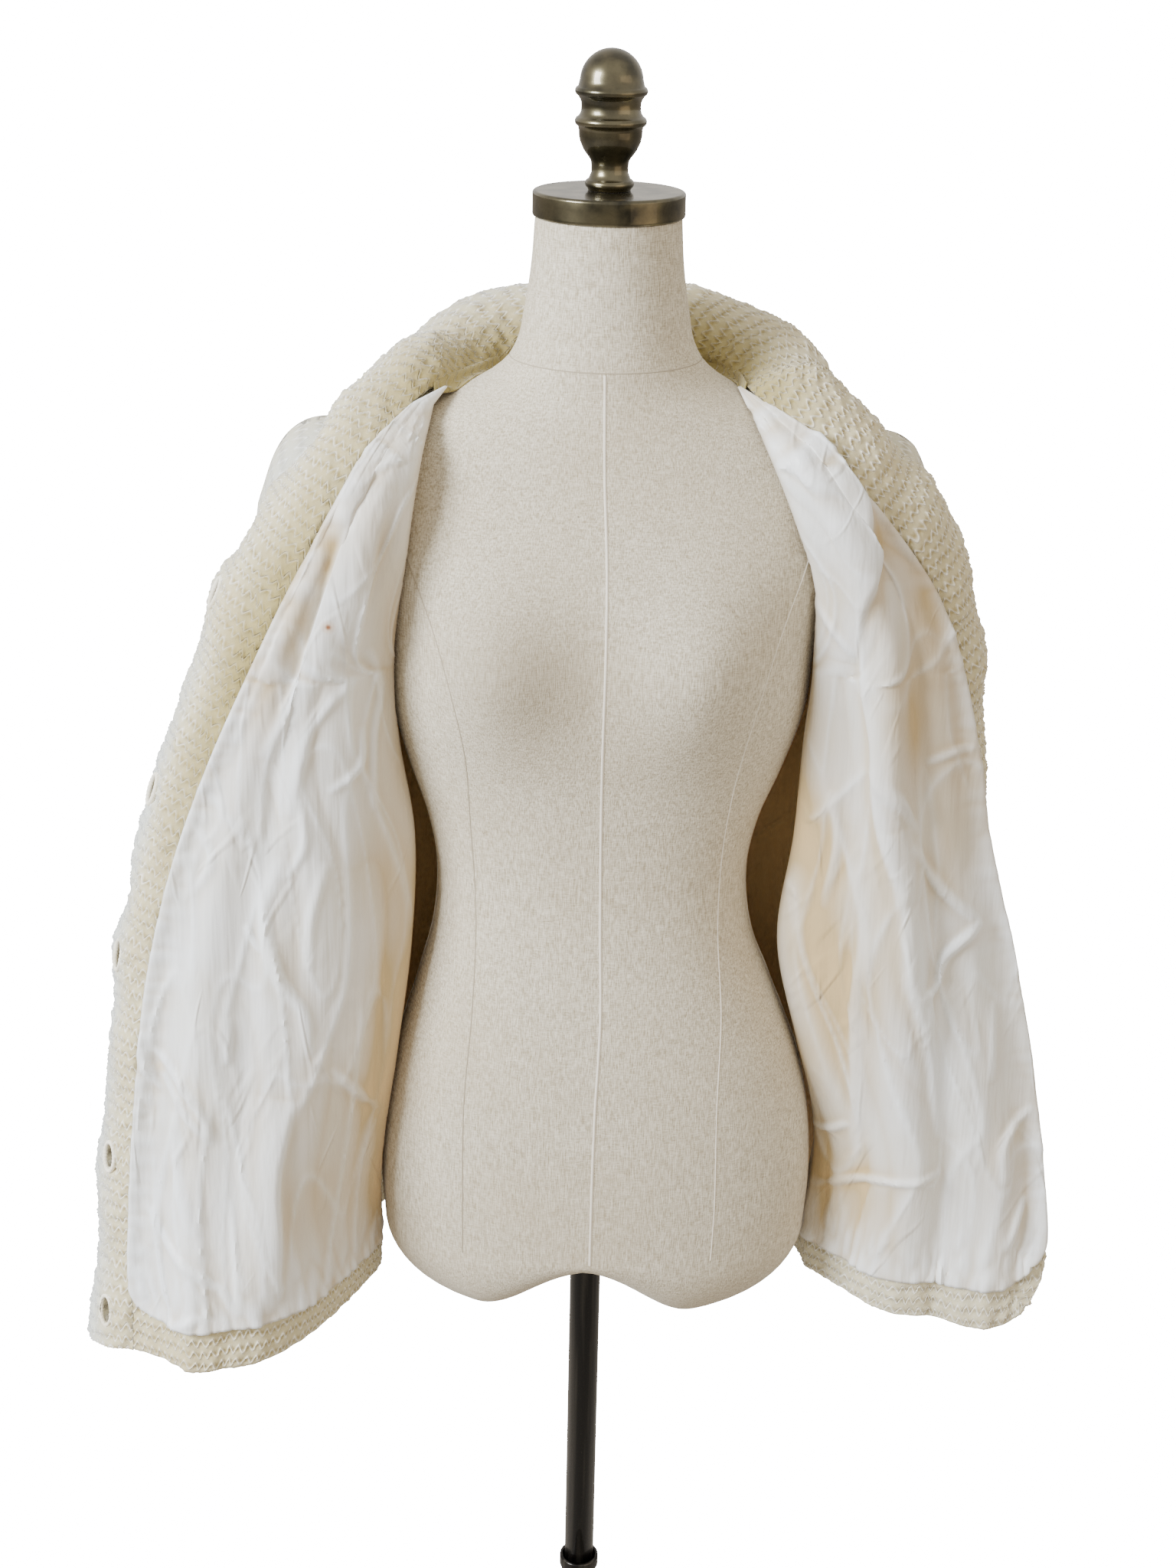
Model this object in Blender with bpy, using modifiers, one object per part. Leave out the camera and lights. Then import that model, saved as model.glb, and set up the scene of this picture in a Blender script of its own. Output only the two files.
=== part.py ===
"""Lined hand-knit cardigan, worn open on a limbless dress form that stands on a pole.

Metres, +Z up, +Y away from the viewer, origin under the middle of the base.
Side -1 is the wearer's right (the viewer's left), side +1 the wearer's left.
"""
import math

import bpy
import bmesh
import numpy as np
from mathutils import Matrix, Vector

# Seam and contact clearances
CONTACT_GAP = 0.0004
BAND_SEAM_GAP = 0.0011
PANEL_SEAM_GAP = 0.0006
LINING_GAP = 0.0011
LINING_EDGE_GAP = 0.0015
LINING_TOP_GAP = 0.0016

# Stand
BASE_RADIUS = 0.180
BASE_EDGE = 0.006
BASE_BOSS_RADIUS = 0.030
BASE_BOSS_TOP = 0.022
LOWER_TUBE_RADIUS = 0.0147
LOWER_TUBE_BORE = 0.0130
LOWER_TUBE_TOP = 0.360
LOWER_TUBE_FLOOR = 0.030
MOUTH_LIP_RADIUS = 0.0165
MOUTH_LIP_HEIGHT = 0.010
POLE_RADIUS = 0.0123
POLE_BOTTOM = 0.120
POLE_TOP = 0.800

# Dress form
NECK_TOP = 1.494
CAP_RADIUS = 0.052
CAP_THICKNESS = 0.017
FINIAL_TOP = 1.603
FORM_BORE = 0.0131
FORM_RIM = 0.712
LOBE_CENTRE = 0.088
LOBE_SPREAD = 0.062
LOBE_DROP = 0.078
ARCH_DROP = 0.012
BUST_CENTRE = 0.076
BUST_SPREAD = 0.046
BUST_HEIGHT = 1.195
BUST_RISE = 0.060
BUST_DEPTH = 0.020

# Cardigan
HEM = 0.652
UNDERARM = 1.188
KNIT_WALL = 0.003
BAND_WALL = 0.005
LINING_WALL = 0.001
LINING_HEM = 0.034
BAND_WIDTH = 0.078
BEND_RADIUS = 0.010
BEND_SWELL = 0.0035
FORM_CLEARANCE = 0.0059
SHOULDER_CLEARANCE = 0.0036
SHOULDER_HEIGHT = 1.362
ARMHOLE_X = 0.1855
ARMHOLE_MID_Y = 0.030
ARMHOLE_HALF_DEPTH = 0.046
SHOULDER_END = 1.340
SHOULDER_END_X = 0.1800
SHOULDER_END_Y = 0.030
SHOULDER_INNER_X = 0.118
SHOULDER_INNER_Y = 0.006
SHOULDER_INNER_Z = 1.3745
FRONT_TOP_DROP = 0.0052

# Buttons and buttonholes, by height on the bands, and how far each hole lies from the seam
BUTTON_HEIGHTS = (1.218, 1.079, 0.957, 0.802, 0.680)
HOLES_ACROSS = (0.058, 0.044, 0.036, 0.024, 0.024)
BUTTON_RADIUS = 0.0115
BUTTON_THICKNESS = 0.004
BUTTON_SHANK = 0.0048
BUTTON_SHANK_RADIUS = 0.0025
BUTTON_FOOT_GAP = 0.0010
HOLE_LENGTH = 0.022
HOLE_WIDTH = 0.0085
HOLE_SWELL = 0.005
HOLE_SWELL_LENGTH = 0.030

# Dress form, one row a section from the neck down
FORM_COLUMNS = ("height", "half_width", "front", "back", "shift", "power")
FORM_ROWS = (
    (1.4937, 0.0500, 0.050, 0.050, 0.000, 2.00),
    (1.4600, 0.0525, 0.052, 0.051, 0.000, 2.00),
    (1.4300, 0.0570, 0.055, 0.052, 0.000, 2.00),
    (1.4080, 0.0620, 0.058, 0.054, 0.000, 2.00),
    (1.3950, 0.0700, 0.060, 0.056, 0.000, 1.95),
    (1.3840, 0.0850, 0.061, 0.058, 0.000, 1.85),
    (1.3740, 0.1060, 0.063, 0.060, 0.000, 1.75),
    (1.3620, 0.1310, 0.065, 0.063, 0.000, 1.75),
    (1.3460, 0.1530, 0.068, 0.067, 0.000, 1.85),
    (1.3220, 0.1665, 0.073, 0.074, 0.000, 2.00),
    (1.2950, 0.1705, 0.081, 0.081, 0.000, 2.15),
    (1.2700, 0.1705, 0.088, 0.088, 0.000, 2.25),
    (1.2300, 0.1620, 0.096, 0.090, 0.000, 2.25),
    (1.1950, 0.1560, 0.098, 0.089, 0.000, 2.25),
    (1.1500, 0.1520, 0.093, 0.086, 0.000, 2.25),
    (1.1000, 0.1380, 0.083, 0.079, -0.001, 2.25),
    (1.0600, 0.1240, 0.078, 0.073, -0.002, 2.25),
    (1.0150, 0.1165, 0.076, 0.068, -0.002, 2.25),
    (0.9700, 0.1200, 0.079, 0.071, -0.001, 2.25),
    (0.9200, 0.1360, 0.084, 0.080, 0.002, 2.25),
    (0.8600, 0.1560, 0.089, 0.093, 0.005, 2.25),
    (0.8000, 0.1670, 0.091, 0.102, 0.006, 2.25),
    (0.7500, 0.1700, 0.090, 0.105, 0.006, 2.25),
    (FORM_RIM, 0.1680, 0.088, 0.103, 0.006, 2.25),
)

# Each front, one row a height: side seam, inner bend, middle of the panel, band seam, band turn
# (where its curl starts and ends, in degrees from straight out)
FRONT_COLUMNS = ("height", "side_x", "side_y", "bend_x", "bend_y", "mid_x", "mid_y",
                 "seam_x", "seam_y", "band_start", "band_end")
RIGHT_FRONT_ROWS = (
    (HEM, 0.180, 0.040, 0.166, 0.000, 0.264, -0.150, 0.344, -0.124, 0, 120),
    (0.700, 0.180, 0.040, 0.163, -0.006, 0.260, -0.138, 0.344, -0.114, 6, 125),
    (0.780, 0.180, 0.038, 0.160, -0.026, 0.255, -0.118, 0.341, -0.104, 12, 125),
    (0.870, 0.177, 0.036, 0.148, -0.034, 0.246, -0.106, 0.333, -0.096, 18, 120),
    (0.960, 0.174, 0.034, 0.137, -0.030, 0.236, -0.098, 0.321, -0.090, 20, 115),
    (1.050, 0.174, 0.032, 0.134, -0.030, 0.224, -0.092, 0.298, -0.088, 20, 112),
    (1.130, 0.177, 0.030, 0.144, -0.036, 0.210, -0.090, 0.268, -0.088, 16, 106),
    (UNDERARM, 0.182, 0.030, 0.145, -0.044, 0.198, -0.090, 0.242, -0.090, 10, 100),
    (1.260, 0.1815, 0.030, 0.136, -0.060, 0.176, -0.092, 0.207, -0.092, 6, 96),
    (1.310, 0.1800, 0.030, 0.129, -0.066, 0.158, -0.090, 0.179, -0.088, 2, 96),
    (1.343, 0.179, 0.029, 0.123, -0.056, 0.142, -0.078, 0.159, -0.076, 0, 100),
    (1.376, 0.116, 0.004, 0.115, -0.012, 0.121, -0.028, 0.124, -0.031, -5, 108),
)
LEFT_FRONT_ROWS = (
    (HEM, 0.184, 0.058, 0.167, 0.030, 0.270, -0.058, 0.357, -0.058, 54, 152),
    (0.700, 0.186, 0.054, 0.173, 0.020, 0.268, -0.054, 0.361, -0.044, 72, 158),
    (0.780, 0.189, 0.048, 0.180, 0.008, 0.264, -0.054, 0.352, -0.032, 92, 160),
    (0.870, 0.186, 0.041, 0.161, -0.012, 0.250, -0.056, 0.336, -0.028, 92, 160),
    (0.960, 0.180, 0.036, 0.141, -0.014, 0.235, -0.058, 0.314, -0.028, 88, 156),
    (1.050, 0.176, 0.032, 0.148, -0.020, 0.218, -0.060, 0.289, -0.030, 66, 152),
    (1.130, 0.177, 0.030, 0.150, -0.030, 0.210, -0.062, 0.271, -0.034, 44, 148),
    (UNDERARM, 0.182, 0.030, 0.153, -0.036, 0.205, -0.064, 0.256, -0.040, 26, 140),
    (1.260, 0.1815, 0.030, 0.146, -0.048, 0.184, -0.072, 0.224, -0.052, 8, 112),
    (1.310, 0.1800, 0.030, 0.129, -0.060, 0.156, -0.080, 0.186, -0.066, 0, 98),
    (1.343, 0.179, 0.029, 0.114, -0.054, 0.133, -0.072, 0.155, -0.064, -4, 94),
    (1.380, 0.108, 0.002, 0.093, -0.012, 0.099, -0.028, 0.102, -0.031, -4, 96),
)

# Collar stretch of the bands, from the neck point to the middle of the back neck
COLLAR_COLUMNS = ("seam_x", "seam_y", "height", "back_drop", "right_start", "right_end",
                  "left_start", "left_end")
COLLAR_ROWS = (
    (0.090, 0.024, 1.3820, 0.0056, -14, 98, -12, 96),
    (0.072, 0.055, 1.3840, 0.0046, -20, 90, -20, 90),
    (0.042, 0.073, 1.3890, 0.0020, -20, 90, -20, 90),
    (0.000, 0.079, 1.3910, 0.0018, -20, 90, -20, 90),
)
# The way the bands curl over: straight back, and down too from CURL_LOW to CURL_HIGH;
# the left one also outwards at the neck
CURL_DROP = 0.41
CURL_LOW = 1.250
CURL_HIGH = 1.340
COLLAR_HEIGHT = 1.380
CURL_OUTWARDS = {"right": 0.0, "left": 0.20}

# Large folds of each front: where across the panel (0 bend, 1 band) at the hem and at the top,
# how far they stand out and how wide they are
FOLD_COLUMNS = ("at_hem", "at_top", "depth", "width")
RIGHT_FRONT_FOLDS = (
    (0.22, 0.35, 0.006, 0.10),
    (0.47, 0.62, -0.007, 0.10),
    (0.70, 0.82, 0.006, 0.08),
)
LEFT_FRONT_FOLDS = (
    (0.30, 0.48, 0.012, 0.10),
    (0.50, 0.68, -0.007, 0.09),
    (0.76, 0.84, 0.005, 0.08),
)

# Back, one row a height from the hem to the underarm: depth of its middle behind the form's axis
BACK_COLUMNS = ("height", "depth")
BACK_ROWS = (
    (HEM, 0.152),
    (0.760, 0.138),
    (0.860, 0.126),
    (0.950, 0.117),
    (1.050, 0.112),
    (1.130, 0.110),
    (UNDERARM, 0.110),
)

# Sleeves, one ring a row: inner and outer point, middle and half depth front to back
SLEEVE_COLUMNS = ("inner_x", "inner_z", "outer_x", "outer_z", "mid_y", "half_depth")
RIGHT_SLEEVE_RINGS = (
    (ARMHOLE_X, 1.1850, ARMHOLE_X, 1.3430, 0.030, 0.048),
    (0.1930, 1.1820, 0.2130, 1.3400, 0.030, 0.049),
    (0.1960, 1.1760, 0.2340, 1.3180, 0.030, 0.049),
    (0.1970, 1.1600, 0.2480, 1.2740, 0.031, 0.048),
    (0.1980, 1.1250, 0.2600, 1.2000, 0.034, 0.045),
    (0.1985, 1.0500, 0.2730, 1.0950, 0.038, 0.041),
    (0.2000, 0.9600, 0.2900, 0.9750, 0.042, 0.037),
    (0.2060, 0.8700, 0.3010, 0.8780, 0.045, 0.034),
    (0.2120, 0.7860, 0.3060, 0.7920, 0.048, 0.032),
)
LEFT_SLEEVE_RINGS = (
    (ARMHOLE_X, 1.1850, ARMHOLE_X, 1.3430, 0.030, 0.048),
    (0.1930, 1.1820, 0.2120, 1.3390, 0.030, 0.049),
    (0.1960, 1.1760, 0.2300, 1.3140, 0.031, 0.049),
    (0.1970, 1.1600, 0.2400, 1.2660, 0.035, 0.047),
    (0.1980, 1.1250, 0.2460, 1.1900, 0.041, 0.044),
    (0.1985, 1.0500, 0.2580, 1.0850, 0.047, 0.040),
    (0.2010, 0.9600, 0.2740, 0.9720, 0.054, 0.036),
    (0.2060, 0.8700, 0.2860, 0.8780, 0.060, 0.034),
    (0.2120, 0.7860, 0.2940, 0.7920, 0.064, 0.032),
)

# Mesh density
FORM_SIDES = 32
UNDERSIDE_RINGS = (0.98, 0.91, 0.79, 0.60, 0.36)
FRONT_STEPS = (3, 3, 4, 5)
FRONT_HEIGHTS = (HEM, HEM + LINING_HEM, 0.755, 0.825, 0.895, 0.965, 1.035, 1.095, 1.145, UNDERARM, 1.206,
                 1.232, 1.260, 1.287, 1.311, 1.328, SHOULDER_END, 1.351, 1.360, 1.366)
BACK_COLUMN_COUNT = 18
BACK_LOWER_ROWS = 7
BACK_YOKE_ROWS = 6
BAND_COLLAR_ROWS = 9
BAND_COLUMN_COUNT = 6
SLEEVE_SIDES = 14
SLEEVE_RING_COUNT = 12


def hermite(knots, values, x):
    """Smooth curve through the values at the knots, with rows going either way."""
    knots = np.asarray(knots, float)
    values = np.asarray(values, float)
    if knots[0] > knots[-1]:
        knots = knots[::-1]
        values = values[::-1]
    x = min(max(x, knots[0]), knots[-1])
    slopes = np.gradient(values, knots)
    i = min(int(np.searchsorted(knots, x, side="right")) - 1, len(knots) - 2)
    span = knots[i + 1] - knots[i]
    t = (x - knots[i]) / span
    rise = values[i] * (1 + 2 * t) * (1 - t) ** 2 + values[i + 1] * t * t * (3 - 2 * t)
    return rise + span * (slopes[i] * t * (1 - t) ** 2 - slopes[i + 1] * t * t * (1 - t))


def row_at(columns, rows, x, key="height"):
    """A table's columns read at any value of its key column."""
    table = np.array(rows, float)
    knots = table[:, columns.index(key)]
    return {name: hermite(knots, table[:, i], x) for i, name in enumerate(columns)}


def curve_through(points, steps):
    """Points on a smooth curve through the given points, with a number of steps in each span."""
    points = np.asarray(points, float)
    spans = np.linalg.norm(np.diff(points, axis=0), axis=1)
    knots = np.concatenate([[0.0], np.cumsum(np.sqrt(spans))])
    stops = [knots[0]]
    for i, count in enumerate(steps):
        stops.extend(knots[i] + (knots[i + 1] - knots[i]) * (k + 1) / count for k in range(count))
    axes = range(points.shape[1])
    return [tuple(hermite(knots, points[:, axis], stop) for axis in axes) for stop in stops]


def bell(x, centre, width):
    """Soft bump of height one."""
    return math.exp(-((x - centre) / width) ** 2)


def ease(x, start, end):
    """Soft step from 0 at the start to 1 at the end."""
    share = min(max((x - start) / (end - start), 0.0), 1.0)
    return share * share * (3 - 2 * share)


# Scene, collections and materials
for old in list(bpy.data.objects):
    bpy.data.objects.remove(old, do_unlink=True)
cardigan = bpy.data.collections.new("cardigan_on_dress_form")
cutters = bpy.data.collections.new("cutters")
bpy.context.scene.collection.children.link(cardigan)
bpy.context.scene.collection.children.link(cutters)


def new_material(name, color, roughness, metallic=0.0):
    material = bpy.data.materials.new(name)
    material.use_nodes = True
    shader = material.node_tree.nodes["Principled BSDF"]
    shader.inputs["Base Color"].default_value = (*color, 1.0)
    shader.inputs["Roughness"].default_value = roughness
    shader.inputs["Metallic"].default_value = metallic
    return material


KNIT = new_material("cream_knit", (0.80, 0.74, 0.58), 0.95)
LINING = new_material("ivory_lining", (0.86, 0.82, 0.74), 0.45)
LINEN = new_material("linen_cover", (0.70, 0.65, 0.56), 0.90)
BRASS = new_material("antique_brass", (0.16, 0.13, 0.06), 0.30, 0.9)
DARK_METAL = new_material("dark_metal", (0.03, 0.027, 0.024), 0.35, 0.8)
BUTTON = new_material("cream_button", (0.75, 0.68, 0.52), 0.40)


def add_object(name, mesh, material, collection=cardigan):
    mesh.materials.append(material)
    piece = bpy.data.objects.new(name, mesh)
    collection.objects.link(piece)
    return piece


def loft(name, sections, material, around=False, cap_first=False, cap_last=False, flip=False):
    """Surface through sections that all have the same number of points."""
    bm = bmesh.new()
    rings = [[bm.verts.new(point) for point in section] for section in sections]
    count = len(rings[0])
    for lower, upper in zip(rings, rings[1:]):
        for i in range(count if around else count - 1):
            j = (i + 1) % count
            for corners in ((lower[i], lower[j], upper[j]), (lower[i], upper[j], upper[i])):
                bm.faces.new(corners[::-1] if flip else corners)
    if cap_first:
        bm.faces.new(rings[0] if flip else rings[0][::-1])
    if cap_last:
        bm.faces.new(rings[-1][::-1] if flip else rings[-1])
    mesh = bpy.data.meshes.new(name)
    bm.normal_update()
    bm.to_mesh(mesh)
    bm.free()
    mesh.shade_smooth()
    return add_object(name, mesh, material)


def add_wall(piece, thickness, outward):
    """Gives an open surface its wall, on the side its faces point to or on the other."""
    solidify = piece.modifiers.new("wall", "SOLIDIFY")
    solidify.thickness = thickness
    solidify.offset = 1.0 if outward else -1.0
    solidify.use_even_offset = False


def turned(name, profile, material, sides, centre=(0.0, 0.0, 0.0)):
    """Turned solid from (radius, height) points, listed from the top down its outer side."""
    bm = bmesh.new()
    verts = [bm.verts.new((radius, 0.0, height)) for radius, height in profile]
    for upper, lower in zip(verts, verts[1:]):
        bm.edges.new((upper, lower))
    mesh = bpy.data.meshes.new(name)
    bm.to_mesh(mesh)
    bm.free()
    piece = add_object(name, mesh, material)
    piece.location = centre
    screw = piece.modifiers.new("turn", "SCREW")
    screw.axis = "Z"
    screw.steps = sides
    screw.render_steps = sides
    screw.use_merge_vertices = True
    screw.merge_threshold = 0.00001
    return piece


def arc(centre_r, centre_z, radius, start, end, count):
    """Points of a profile along an arc, angles in degrees from straight out."""
    angles = [math.radians(start + (end - start) * i / (count - 1)) for i in range(count)]
    return [(centre_r + radius * math.cos(a), centre_z + radius * math.sin(a)) for a in angles]


# Base plate and the lower tube that stands in its boss
turned("base_plate", [
    (0.0, BASE_BOSS_TOP), (BASE_BOSS_RADIUS - 0.003, BASE_BOSS_TOP),
    (BASE_BOSS_RADIUS, BASE_BOSS_TOP - 0.003), (BASE_BOSS_RADIUS + 0.002, 0.011),
    (BASE_BOSS_RADIUS + 0.010, BASE_EDGE + 0.003),
    (BASE_RADIUS - 0.020, BASE_EDGE + 0.001), (BASE_RADIUS - 0.003, BASE_EDGE - 0.001),
    (BASE_RADIUS, BASE_EDGE - 0.003), (BASE_RADIUS - 0.001, 0.0), (0.0, 0.0)], DARK_METAL, 36)

TUBE_BOTTOM = BASE_BOSS_TOP + CONTACT_GAP
turned("lower_tube", [
    (0.0, LOWER_TUBE_FLOOR), (LOWER_TUBE_BORE, LOWER_TUBE_FLOOR), (LOWER_TUBE_BORE, LOWER_TUBE_TOP - 0.002),
    (LOWER_TUBE_BORE + 0.001, LOWER_TUBE_TOP), (MOUTH_LIP_RADIUS - 0.002, LOWER_TUBE_TOP),
    (MOUTH_LIP_RADIUS, LOWER_TUBE_TOP - 0.002), (MOUTH_LIP_RADIUS, LOWER_TUBE_TOP - MOUTH_LIP_HEIGHT),
    (LOWER_TUBE_RADIUS, LOWER_TUBE_TOP - MOUTH_LIP_HEIGHT - 0.003), (LOWER_TUBE_RADIUS, TUBE_BOTTOM),
    (0.0, TUBE_BOTTOM)], DARK_METAL, 20)

# Upper pole, which slides in the lower tube and turns in the form's socket
turned("upper_pole", [
    (0.0, POLE_TOP - CONTACT_GAP), (POLE_RADIUS, POLE_TOP - CONTACT_GAP),
    (POLE_RADIUS, POLE_BOTTOM), (0.0, POLE_BOTTOM)], DARK_METAL, 20)


# Dress form: sections from the neck to the hip, the lobes underneath, then the pole's socket
def bust(x, height):
    """How far the bust stands out of the section's front."""
    across = bell(abs(x), BUST_CENTRE, BUST_SPREAD)
    return BUST_DEPTH * across * bell(height, BUST_HEIGHT, BUST_RISE)


def rounded(angle, power):
    """Point of a rounded section at an angle, each way from -1 to 1."""
    c = math.cos(angle)
    s = math.sin(angle)
    return math.copysign(abs(c) ** (2 / power), c), math.copysign(abs(s) ** (2 / power), s)


def form_section(height, scale=1.0):
    row = row_at(FORM_COLUMNS, FORM_ROWS, height)
    points = []
    for i in range(FORM_SIDES):
        across, deep = rounded(2 * math.pi * i / FORM_SIDES, row["power"])
        x = row["half_width"] * across
        y = deep * (row["back"] if deep > 0 else row["front"])
        if deep < 0:
            y -= bust(x, height) * abs(deep) ** 0.5
        points.append((scale * x + row["shift"], scale * y, height))
    return points


def form_underside(scale):
    """Ring of the rounded underside, which hangs in two lobes with an arch between."""
    points = []
    for x, y, _ in form_section(FORM_RIM, scale):
        lobe = bell(min(abs(x), LOBE_CENTRE), LOBE_CENTRE, LOBE_SPREAD)
        drop = ARCH_DROP + (LOBE_DROP - ARCH_DROP) * lobe
        points.append((x, y, FORM_RIM - drop * math.sqrt(1 - scale ** 3.2)))
    return points


def socket_ring(height):
    points = []
    for i in range(FORM_SIDES):
        angle = 2 * math.pi * i / FORM_SIDES
        points.append((FORM_BORE * math.cos(angle), FORM_BORE * math.sin(angle), height))
    return points


form_heights = []
for upper, lower in zip(FORM_ROWS, FORM_ROWS[1:]):
    form_heights.append(upper[0])
    if upper[0] - lower[0] > 0.03:
        form_heights.append((upper[0] + lower[0]) / 2)
form_heights.append(FORM_RIM)
form_sections = [form_section(height) for height in form_heights]
form_sections += [form_underside(scale) for scale in UNDERSIDE_RINGS]
SOCKET_MOUTH = form_underside(0.1)[FORM_SIDES // 4][2]
form_sections += [socket_ring(SOCKET_MOUTH), socket_ring(POLE_TOP)]
loft("form_torso", form_sections, LINEN, around=True, cap_first=True, cap_last=True, flip=True)

# Neck cap and the finial screwed to it
CAP_BOTTOM = NECK_TOP
CAP_TOP = CAP_BOTTOM + CAP_THICKNESS
turned("neck_cap", [
    (0.0, CAP_TOP), (CAP_RADIUS - 0.0022, CAP_TOP)]
    + arc(CAP_RADIUS - 0.0022, CAP_TOP - 0.0022, 0.0022, 60, 0, 3)
    + [(CAP_RADIUS, CAP_BOTTOM + 0.0018), (CAP_RADIUS - 0.0018, CAP_BOTTOM), (0.0, CAP_BOTTOM)],
    BRASS, 36)

FINIAL_BOTTOM = CAP_TOP + CONTACT_GAP
DOME_RADIUS = 0.0212
dome = arc(0.0, FINIAL_TOP - DOME_RADIUS, DOME_RADIUS, 90, 4, 7)
dome[0] = (0.0, FINIAL_TOP)
turned("finial", dome
       + arc(0.0212, FINIAL_TOP - 0.0275, 0.0032, 60, -60, 4)
       + [(0.0206, FINIAL_TOP - 0.0335), (0.0199, FINIAL_TOP - 0.0375), (0.0206, FINIAL_TOP - 0.0415)]
       + arc(0.0208, FINIAL_TOP - 0.0470, 0.0034, 60, -60, 4)
       + [(0.0214, FINIAL_TOP - 0.0540), (0.0205, FINIAL_TOP - 0.0600), (0.0180, FINIAL_TOP - 0.0655),
          (0.0146, FINIAL_TOP - 0.0695), (0.0128, FINIAL_TOP - 0.0715), (0.0125, FINIAL_TOP - 0.0800)]
       + arc(0.0135, FINIAL_BOTTOM + 0.0042, 0.0032, 70, -60, 4)
       + [(0.0145, FINIAL_BOTTOM), (0.0, FINIAL_BOTTOM)], BRASS, 18)


# Cloth stays clear of the form
def clear_of_form(x, y, height, clearance):
    """The point, moved straight away from the form's axis where it would touch the form."""
    row = row_at(FORM_COLUMNS, FORM_ROWS, max(height, FORM_RIM))
    clearance += SHOULDER_CLEARANCE * bell(height, SHOULDER_HEIGHT, 0.018)
    deep = row["back"] if y > 0 else row["front"] + bust(x - row["shift"], height)
    across = row["half_width"] + clearance
    deep += clearance
    power = row["power"]
    reach = (abs((x - row["shift"]) / across) ** power + abs(y / deep) ** power) ** (1 / power)
    if reach >= 1:
        return x, y
    return row["shift"] + (x - row["shift"]) / reach, y / reach


def armhole_curve(height):
    """How far the armhole's edge lies in front of or behind its middle at a height."""
    middle = (UNDERARM + SHOULDER_END) / 2
    half = (SHOULDER_END - UNDERARM) / 2
    fraction = min(abs(height - middle) / half, 1.0)
    return ARMHOLE_HALF_DEPTH * math.sqrt(1 - fraction ** 2)


def shoulder_seam(height):
    """Place along the shoulder seam at a height, as x and y."""
    share = (SHOULDER_INNER_Z - height) / (SHOULDER_INNER_Z - SHOULDER_END)
    x = SHOULDER_INNER_X + (SHOULDER_END_X - SHOULDER_INNER_X) * share
    y = SHOULDER_INNER_Y + (SHOULDER_END_Y - SHOULDER_INNER_Y) * share
    return x, y


# Fronts: the lining side of each panel, from the side seam round the bend to the band
def front_row(rows, folds, side, height):
    row = row_at(FRONT_COLUMNS, rows, height)
    side_x = row["side_x"]
    side_y = row["side_y"]
    if height >= SHOULDER_END:
        side_x, side_y = shoulder_seam(height)
    elif height > UNDERARM:
        side_y = ARMHOLE_MID_Y - armhole_curve(height)
    knots = (
        (side_x, side_y - PANEL_SEAM_GAP),
        (row["bend_x"] + BEND_SWELL, row["bend_y"] + BEND_RADIUS),
        (row["bend_x"] + BEND_SWELL, row["bend_y"] - BEND_RADIUS),
        (row["mid_x"], row["mid_y"]),
        (row["seam_x"], row["seam_y"]),
    )
    points = curve_through(knots, FRONT_STEPS)
    hidden = FRONT_STEPS[0] + FRONT_STEPS[1]
    visible = len(points) - 1 - hidden
    rise = (height - HEM) / (rows[-1][0] - HEM)
    moved = []
    for i, (x, y) in enumerate(points):
        if i > hidden:
            across = (i - hidden) / visible
            fading = (1 - rise ** 3) * math.sin(math.pi * across) ** 0.5
            for at_hem, at_top, depth, width in folds:
                centre = at_hem + (at_top - at_hem) * rise
                y -= depth * bell(across, centre, width) * fading
        x, y = clear_of_form(side * x, y, height, FORM_CLEARANCE)
        moved.append((x, y, height))
    return moved


def off_the_surface(sections, distance, side):
    """The sections moved off their surface, with their edges drawn in a little from the seams."""
    grid = np.array(sections, float)
    along = np.gradient(grid, axis=0)
    across = np.gradient(grid, axis=1)
    normals = np.cross(across, along) * side
    normals /= np.linalg.norm(normals, axis=2, keepdims=True)
    moved = grid + normals * distance
    for edge, inner in ((0, 1), (-1, -2)):
        step = moved[:, inner] - moved[:, edge]
        moved[:, edge] += step / np.linalg.norm(step, axis=1, keepdims=True) * LINING_EDGE_GAP
    step = moved[-2] - moved[-1]
    moved[-1] += step / np.linalg.norm(step, axis=1, keepdims=True) * LINING_TOP_GAP
    return [[tuple(point) for point in section] for section in moved]


for label, side, rows, folds in (("right", -1, RIGHT_FRONT_ROWS, RIGHT_FRONT_FOLDS),
                                 ("left", 1, LEFT_FRONT_ROWS, LEFT_FRONT_FOLDS)):
    heights = FRONT_HEIGHTS + (rows[-1][0] - FRONT_TOP_DROP,)
    sections = [front_row(rows, folds, side, height) for height in heights]
    panel = loft(label + "_front", sections, KNIT, flip=side < 0)
    add_wall(panel, KNIT_WALL, outward=False)
    lining_sections = off_the_surface(sections[1:], LINING_GAP, side)
    lining = loft(label + "_front_lining", lining_sections, LINING, flip=side < 0)
    add_wall(lining, LINING_WALL, outward=True)


# Bands and shawl collar: a strip sewn to the front edge and the back neck, curling outwards
def band_knots(rows, side, label):
    knots = []
    for row in rows:
        named = dict(zip(FRONT_COLUMNS, row))
        knots.append((side * named["seam_x"], named["seam_y"], named["height"],
                      named["band_start"], named["band_end"]))
    for row in COLLAR_ROWS:
        named = dict(zip(COLLAR_COLUMNS, row))
        knots.append((side * named["seam_x"], named["seam_y"], named["height"],
                      named[label + "_start"], named[label + "_end"]))
    return np.array(knots, float)


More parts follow.
